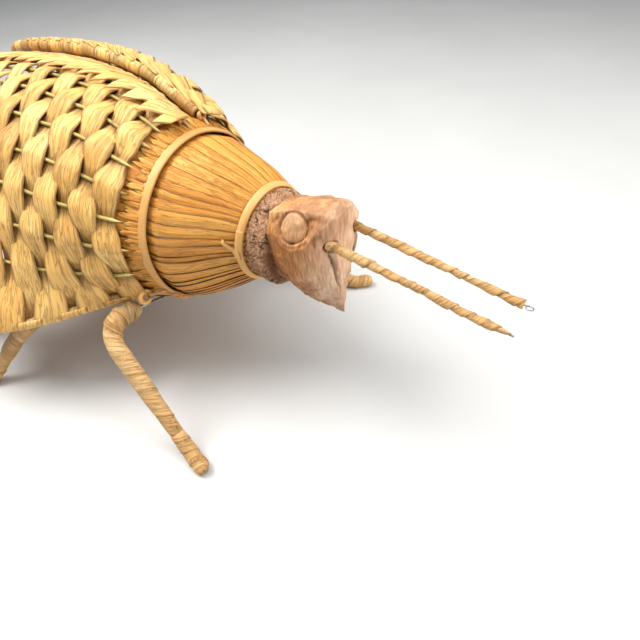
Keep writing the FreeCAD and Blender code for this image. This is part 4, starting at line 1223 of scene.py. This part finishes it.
def eye_band(piece, ring, outward, along, angles, rng):
    """The rod bent round into an eye, slightly flattened."""
    section = 2 * pi * np.arange(12) / 12
    radial = np.cos(angles)[:, None] * outward + np.sin(angles)[:, None] * along
    wide = EYE_WIRE * (1 + 0.12 * waver(angles * 8, rng, 16))
    rings = (ring[:, None] + radial[:, None] * (np.cos(section)[None] * wide[:, None])[..., None]
             + np.array([1.0, 0, 0]) * (np.sin(section)[None] * wide[:, None] * 1.25)[..., None])
    u = (angles * EYE_RING)[:, None]
    piece.tube(rings, u, np.linspace(0, 8, 13)[None], 0.6, 0.0, 0.0, True)


def stake_share(number):
    return (number / (STAKES + 1)) ** STAKE_SPREAD


def make_stakes(name, wing):
    """Thin cane stakes from front to rear, each with a sharpened front end and faint knots."""
    rng = np.random.default_rng(SEED + 40 + wing["side"])
    piece = Piece()
    for number in range(1, STAKES + 1):
        share = stake_share(number)
        front = STAKE_FRONT + rng.uniform(-0.5, 4.0)
        back = np.linspace(front, STAKE_END, 240)
        sway = waver(back, rng, 90, 0.004)
        press = cos(pi * (number + 1)) * np.cos(pi * (back - STRIP_FIRST) / STRIP_PITCH)
        press = press * smooth_step(back, STRIP_FIRST - 10, STRIP_FIRST) * 0.35
        path = wing_point(wing, back, np.clip(share + sway, 0, 1))
        lift = -press - 0.9 * smooth_step(back, front + 12, front)
        path = path + wing_normal(wing, back, np.full(back.shape, share)) * lift[:, None]
        radii = STAKE_RADIUS * (1 + 0.06 * waver(back, rng, 25))
        radii = radii * (0.14 + 0.86 * smooth_step(back, front, front + 6))
        knots = np.exp(-(((back + rng.uniform(0, 30)) % 34 - 17) ** 2) / 0.8)
        tone = rng.uniform(0.2, 0.8) + 0.2 * waver(back, rng, 40)
        ripe = smooth_step(back, front + 9, front + 2)
        plain_rod(piece, path, radii * (1 + 0.12 * knots), 10, tone, 0.6 * knots, ripe)
    piece.build(f"{name}_cane_stakes", f"{name}_wing", "green_cane", STAKE, f"{name}_wing_stakes")


def strip_wave(share, number):
    """1 where strip number lies over a stake, -1 where it lies under one."""
    return np.cos(pi * (np.maximum(share, 0) ** (1 / STAKE_SPREAD) * (STAKES + 1) + number + 1))


def strip_back(number):
    """A strip's middle, back from the corner; the last strips spread out to close the tip."""
    return STRIP_FIRST + number * STRIP_PITCH + TIP_SPREAD * smooth_step(number, STRIPS - 6, STRIPS - 1)


def weave_strip(piece, wing, number, rng):
    """A husk strip over and under the stakes: each float is a wide crowned leaf with a crease
    at its stake, gathered where it dives, and its end is turned round the rim rod."""
    back = strip_back(number)
    phase = np.linspace(0.1, STAKES + 0.72, 136)
    share = (phase / (STAKES + 1)) ** STAKE_SPREAD
    wave = strip_wave(share, number)
    tent = 0.60 * wave + 0.40 * 2 / pi * np.arcsin(0.97 * wave)
    over = 0.5 + 0.5 * wave
    across = np.linspace(-1, 1, 11)
    offset = back + waver(phase, rng, 3.1, 0.9)
    half = STRIP_PINCH / 2 + (STRIP_WIDE - STRIP_PINCH) / 2 * over**0.75
    half = half * (1 + 0.08 * waver(phase, rng, 1.7) + 0.34 * share**2)
    turn = waver(phase, rng, 2.3, 0.5)
    backs = np.clip(offset[:, None] + half[:, None] * across[None], WING_CORNER, TIP_BACK - 1.2)
    slant = (turn[:, None] * across[None]) * 0.006
    shares = np.clip(share[:, None] + slant, 0, 1)
    centre = wing_point(wing, backs, shares)
    normal = wing_normal(wing, backs, shares)
    lift = np.where(tent > 0, 2.1, 1.7) * tent
    crown = (1 - across[None] ** 4) * (0.25 + 0.75 * over[:, None])
    gather = 0.30 * (1 - over[:, None]) * np.cos(across[None] * 9 + number)
    folds = np.zeros((len(phase), len(across)))
    for _ in range(3):
        fold_at = rng.uniform(-0.8, 0.8) + waver(phase, rng, 5.0, 0.35)
        depth = waver(phase, rng, 2.6, 0.5)
        folds += depth[:, None] * np.maximum(0, 0.35 - np.abs(across[None] - fold_at[:, None])) * 2
    tilt = waver(phase, rng, 1.9, 0.35)[:, None] * across[None]
    height = lift[:, None] + crown + gather + folds * 0.75 + tilt
    over_crease = np.exp(-(((phase % 1 + 0.5) % 1 - 0.5) ** 2) / 0.004)[:, None] * over[:, None]
    height = height + 0.05 * over_crease
    grid = centre + normal * height[..., None]
    outside = 1 if strip_wave(np.array(1.0), number) > 0 else -1
    hooked = rim_turn(wing, back + waver(phase, rng, 3.1, 0.9)[-1], half[-1], across, outside, 1.0)
    grid = np.concatenate([grid, hooked])
    hooked = rim_turn(wing, offset[0], STRIP_WIDE / 2, across, 1, 0.0)[::-1]
    grid = np.concatenate([hooked, grid])
    lengths = path_lengths(grid[:, len(across) // 2])
    ends = len(hooked)
    pad = [(ends, len(grid) - ends - len(phase))]
    over = np.pad(over, pad, mode="edge")
    # Painted shade: darker where the strip dives under a stake, along its edges and faintly on the fold at
    # each stake; the tone drops where it dives too.
    dive = smooth_step(over, 0.35, 0.0)[:, None]
    edge = smooth_step(np.abs(across), 0.88, 1.0)[None] * 0.7
    shade_and_marks = np.clip(edge + 0.42 * dive + 0.10 * np.pad(over_crease[:, 0], pad)[:, None], 0, 0.85)
    floats = np.floor(np.pad(phase, pad, mode="edge") + number * 0.5).astype(int)
    tones = rng.uniform(-0.28, 0.28, 14)
    tone = rng.uniform(0.2, 0.85) + tones[np.clip(floats, 0, 13)] - 0.2 * dive[:, 0]
    u = (lengths + rng.uniform(0, 900))[:, None]
    v = across[None] * STRIP_WIDE / 2 + rng.uniform(0, 900)
    piece.slab(grid, STRIP_THICK, u, v, tone[:, None], shade_and_marks)


def rim_turn(wing, back, half, across, outside, share):
    """Rows that carry a strip's end round the rim rod, from outside or inside the wing."""
    angles = np.radians(np.linspace(18, 215 if share else 160, 14))
    backs = np.clip(back + half * across, WING_CORNER, TIP_BACK - 1.2)
    shares = np.full(backs.shape, share)
    centre = wing_point(wing, backs, shares)
    outward = wing_normal(wing, backs, np.full(backs.shape, 0.97 if share else 0.0)) * outside
    away = wing_across(wing, backs, shares) * (1 if share else -1)
    reach = RIM_WRAP + 0.75
    rows = []
    for angle in angles:
        rows.append(centre + reach * (cos(angle) * outward + sin(angle) * away))
    return np.array(rows)


def inner_flap(piece, wing, number, rng):
    """A strip's folded end on the inner edge: a triangle that points forward."""
    back = STRIP_FIRST + number * STRIP_PITCH
    along = np.linspace(0, 1, 16)
    across = np.linspace(-1, 1, 7)
    reach = rng.uniform(17, 22)
    backs = np.maximum(back + 7 - (reach + 4) * along, WING_CORNER - 3)
    share = 0.085 - 0.10 * along
    half = (8.2 * (1 - along) ** 0.7 + 0.8)[:, None] * across[None]
    centre = wing_point(wing, backs, share)
    normal = wing_normal(wing, backs, share)
    side = wing_across(wing, backs, share)
    lift = 4.6 - 1.2 * along + 0.5 * waver(along * 10, rng, 9)
    grid = centre[:, None] + normal[:, None] * lift[:, None, None] + side[:, None] * half[..., None]
    grid = grid + normal[:, None] * (0.9 * (1 - across[None] ** 2) * (1 - along[:, None] * 0.5))[..., None]
    # Painted shade along the flap's edges.
    edge = smooth_step(np.abs(across), 0.8, 1.0)[None] * 0.5
    u = (along * reach + rng.uniform(0, 500))[:, None]
    piece.slab(grid, STRIP_THICK, u, across[None] * 6 + number * 17, rng.uniform(0.4, 0.9), edge)


def make_weave(name, wing):
    rng = np.random.default_rng(SEED + 50 + wing["side"])
    piece = Piece()
    for number in range(STRIPS):
        weave_strip(piece, wing, number, rng)
    for number in range(-1, STRIPS - 3):
        inner_flap(piece, wing, number, rng)
    piece.build(f"{name}_husk_weave", f"{name}_wing", "palm_husk", HUSK, f"{name}_wing_weave")


def make_lashing(name, wing, place, share):
    """A husk strand wound twice through the rim's eye and round the thorax hoop."""
    eye, radius = shown_eye(wing, share)
    outward = unit(eye * [0, 1, 1])
    front = outward * (HOOP_RADIUS + 1.0) + np.array([-HOOP_WIDTH * (0.25 if share else 0.8), 0, 0])
    rear = eye - outward * (radius * 0.45)
    tangent = np.cross([1, 0, 0], outward)
    piece = Piece()
    for offset, spread in ((-1.1, 0.35), (1.1, -0.3)):
        steps = np.linspace(0, 1, 40)
        centre = rear + (front - rear) * steps[:, None]
        sag = 0.8 * np.sin(pi * steps)
        path = centre + outward * sag[:, None] + tangent * (offset * (1 - 0.6 * steps) + spread)[:, None]
        plain_rod(piece, path, 0.85 + 0.15 * np.sin(steps * 9), 8, 0.5 + 0.3 * spread)
    piece.build(f"{name}_{place}_tie", "insect_body", "palm_husk", WRAP, f"{name}_{place}_lashing")


# ---------------------------------------------------------------- the whole insect


def make_insect():
    make_thorax()
    make_abdomen()
    make_hoop()
    make_neck_band()
    make_tail_band()
    make_bark()
    make_head()
    for name, side in (("right", -1), ("left", 1)):
        make_antenna(name, side)
    for leg in LEGS:
        make_leg(leg)
    make_leg_wires()
    for name, wing in WINGS.items():
        make_rim(name, wing)
        make_stakes(name, wing)
        make_weave(name, wing)
        make_lashing(name, wing, "lower", 1)
        make_lashing(name, wing, "upper", 0)
    for node in ("cage_hoops", "cage_ribs"):
        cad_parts[node].data.materials.clear()
        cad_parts[node].data.materials.append(CAGE_CANE)


# ---------------------------------------------------------------- floor, lights and camera


def make_floor():
    mesh = bpy.data.meshes.new("floor")
    far = FLOOR_REACH
    mesh.from_pydata([(-far, -far, 0), (far, -far, 0), (far, far, 0), (-far, far, 0)], [], [(0, 1, 2, 3)])
    pale = Shading("pale_floor")
    mottle = pale.noise(pale.object_place(), (3, 3, 3), 3.0)
    colour = pale.ramp(mottle, (0.3, (0.55, 0.55, 0.54)), (0.7, (0.60, 0.60, 0.59)))
    mesh.materials.append(pale.done(colour, 0.7))
    floor = bpy.data.objects.new("floor", mesh)
    bpy.context.scene.collection.objects.link(floor)


def area_light(name, place, size, power, colour):
    light = bpy.data.lights.new(name, "AREA")
    light.shape = "DISK"
    light.size = size
    light.energy = power
    light.color = colour
    lamp = bpy.data.objects.new(name, light)
    lamp.location = place
    lamp.rotation_euler = (Vector(LAMP_TARGET) - Vector(place)).to_track_quat("-Z", "Y").to_euler()
    bpy.context.scene.collection.objects.link(lamp)


def make_lights():
    for lamp in LAMPS:
        area_light(*lamp)
    world = bpy.data.worlds.new("studio")
    world.use_nodes = True
    back = world.node_tree.nodes["Background"]
    back.inputs["Color"].default_value = SKY_COLOUR
    back.inputs["Strength"].default_value = SKY_STRENGTH
    bpy.context.scene.world = world
    bpy.context.scene.view_settings.view_transform = "Standard"


def make_camera():
    """A camera on the insect's front right, above it, looking down at the head and thorax."""
    place = np.array(CAMERA_PLACE) * MM
    azimuth, down, roll = (radians(angle) for angle in CAMERA_TURN)
    right = np.array([cos(azimuth), sin(azimuth), 0])
    ahead = np.array([-sin(azimuth) * cos(down), cos(azimuth) * cos(down), -sin(down)])
    up = np.cross(right, ahead)
    across = right * cos(roll) + up * sin(roll)
    upward = up * cos(roll) - right * sin(roll)
    data = bpy.data.cameras.new("camera")
    data.sensor_width = CAMERA_SENSOR
    data.lens = CAMERA_LENS
    data.clip_start = 0.01
    data.clip_end = 30.0
    camera = bpy.data.objects.new("camera", data)
    matrix = Matrix.Identity(4)
    for column, axis in enumerate((across, upward, -ahead)):
        for row in range(3):
            matrix[row][column] = axis[row]
    for row in range(3):
        matrix[row][3] = place[row]
    camera.matrix_world = matrix
    bpy.context.scene.collection.objects.link(camera)
    bpy.context.scene.camera = camera


make_insect()
make_floor()
make_lights()
make_camera()
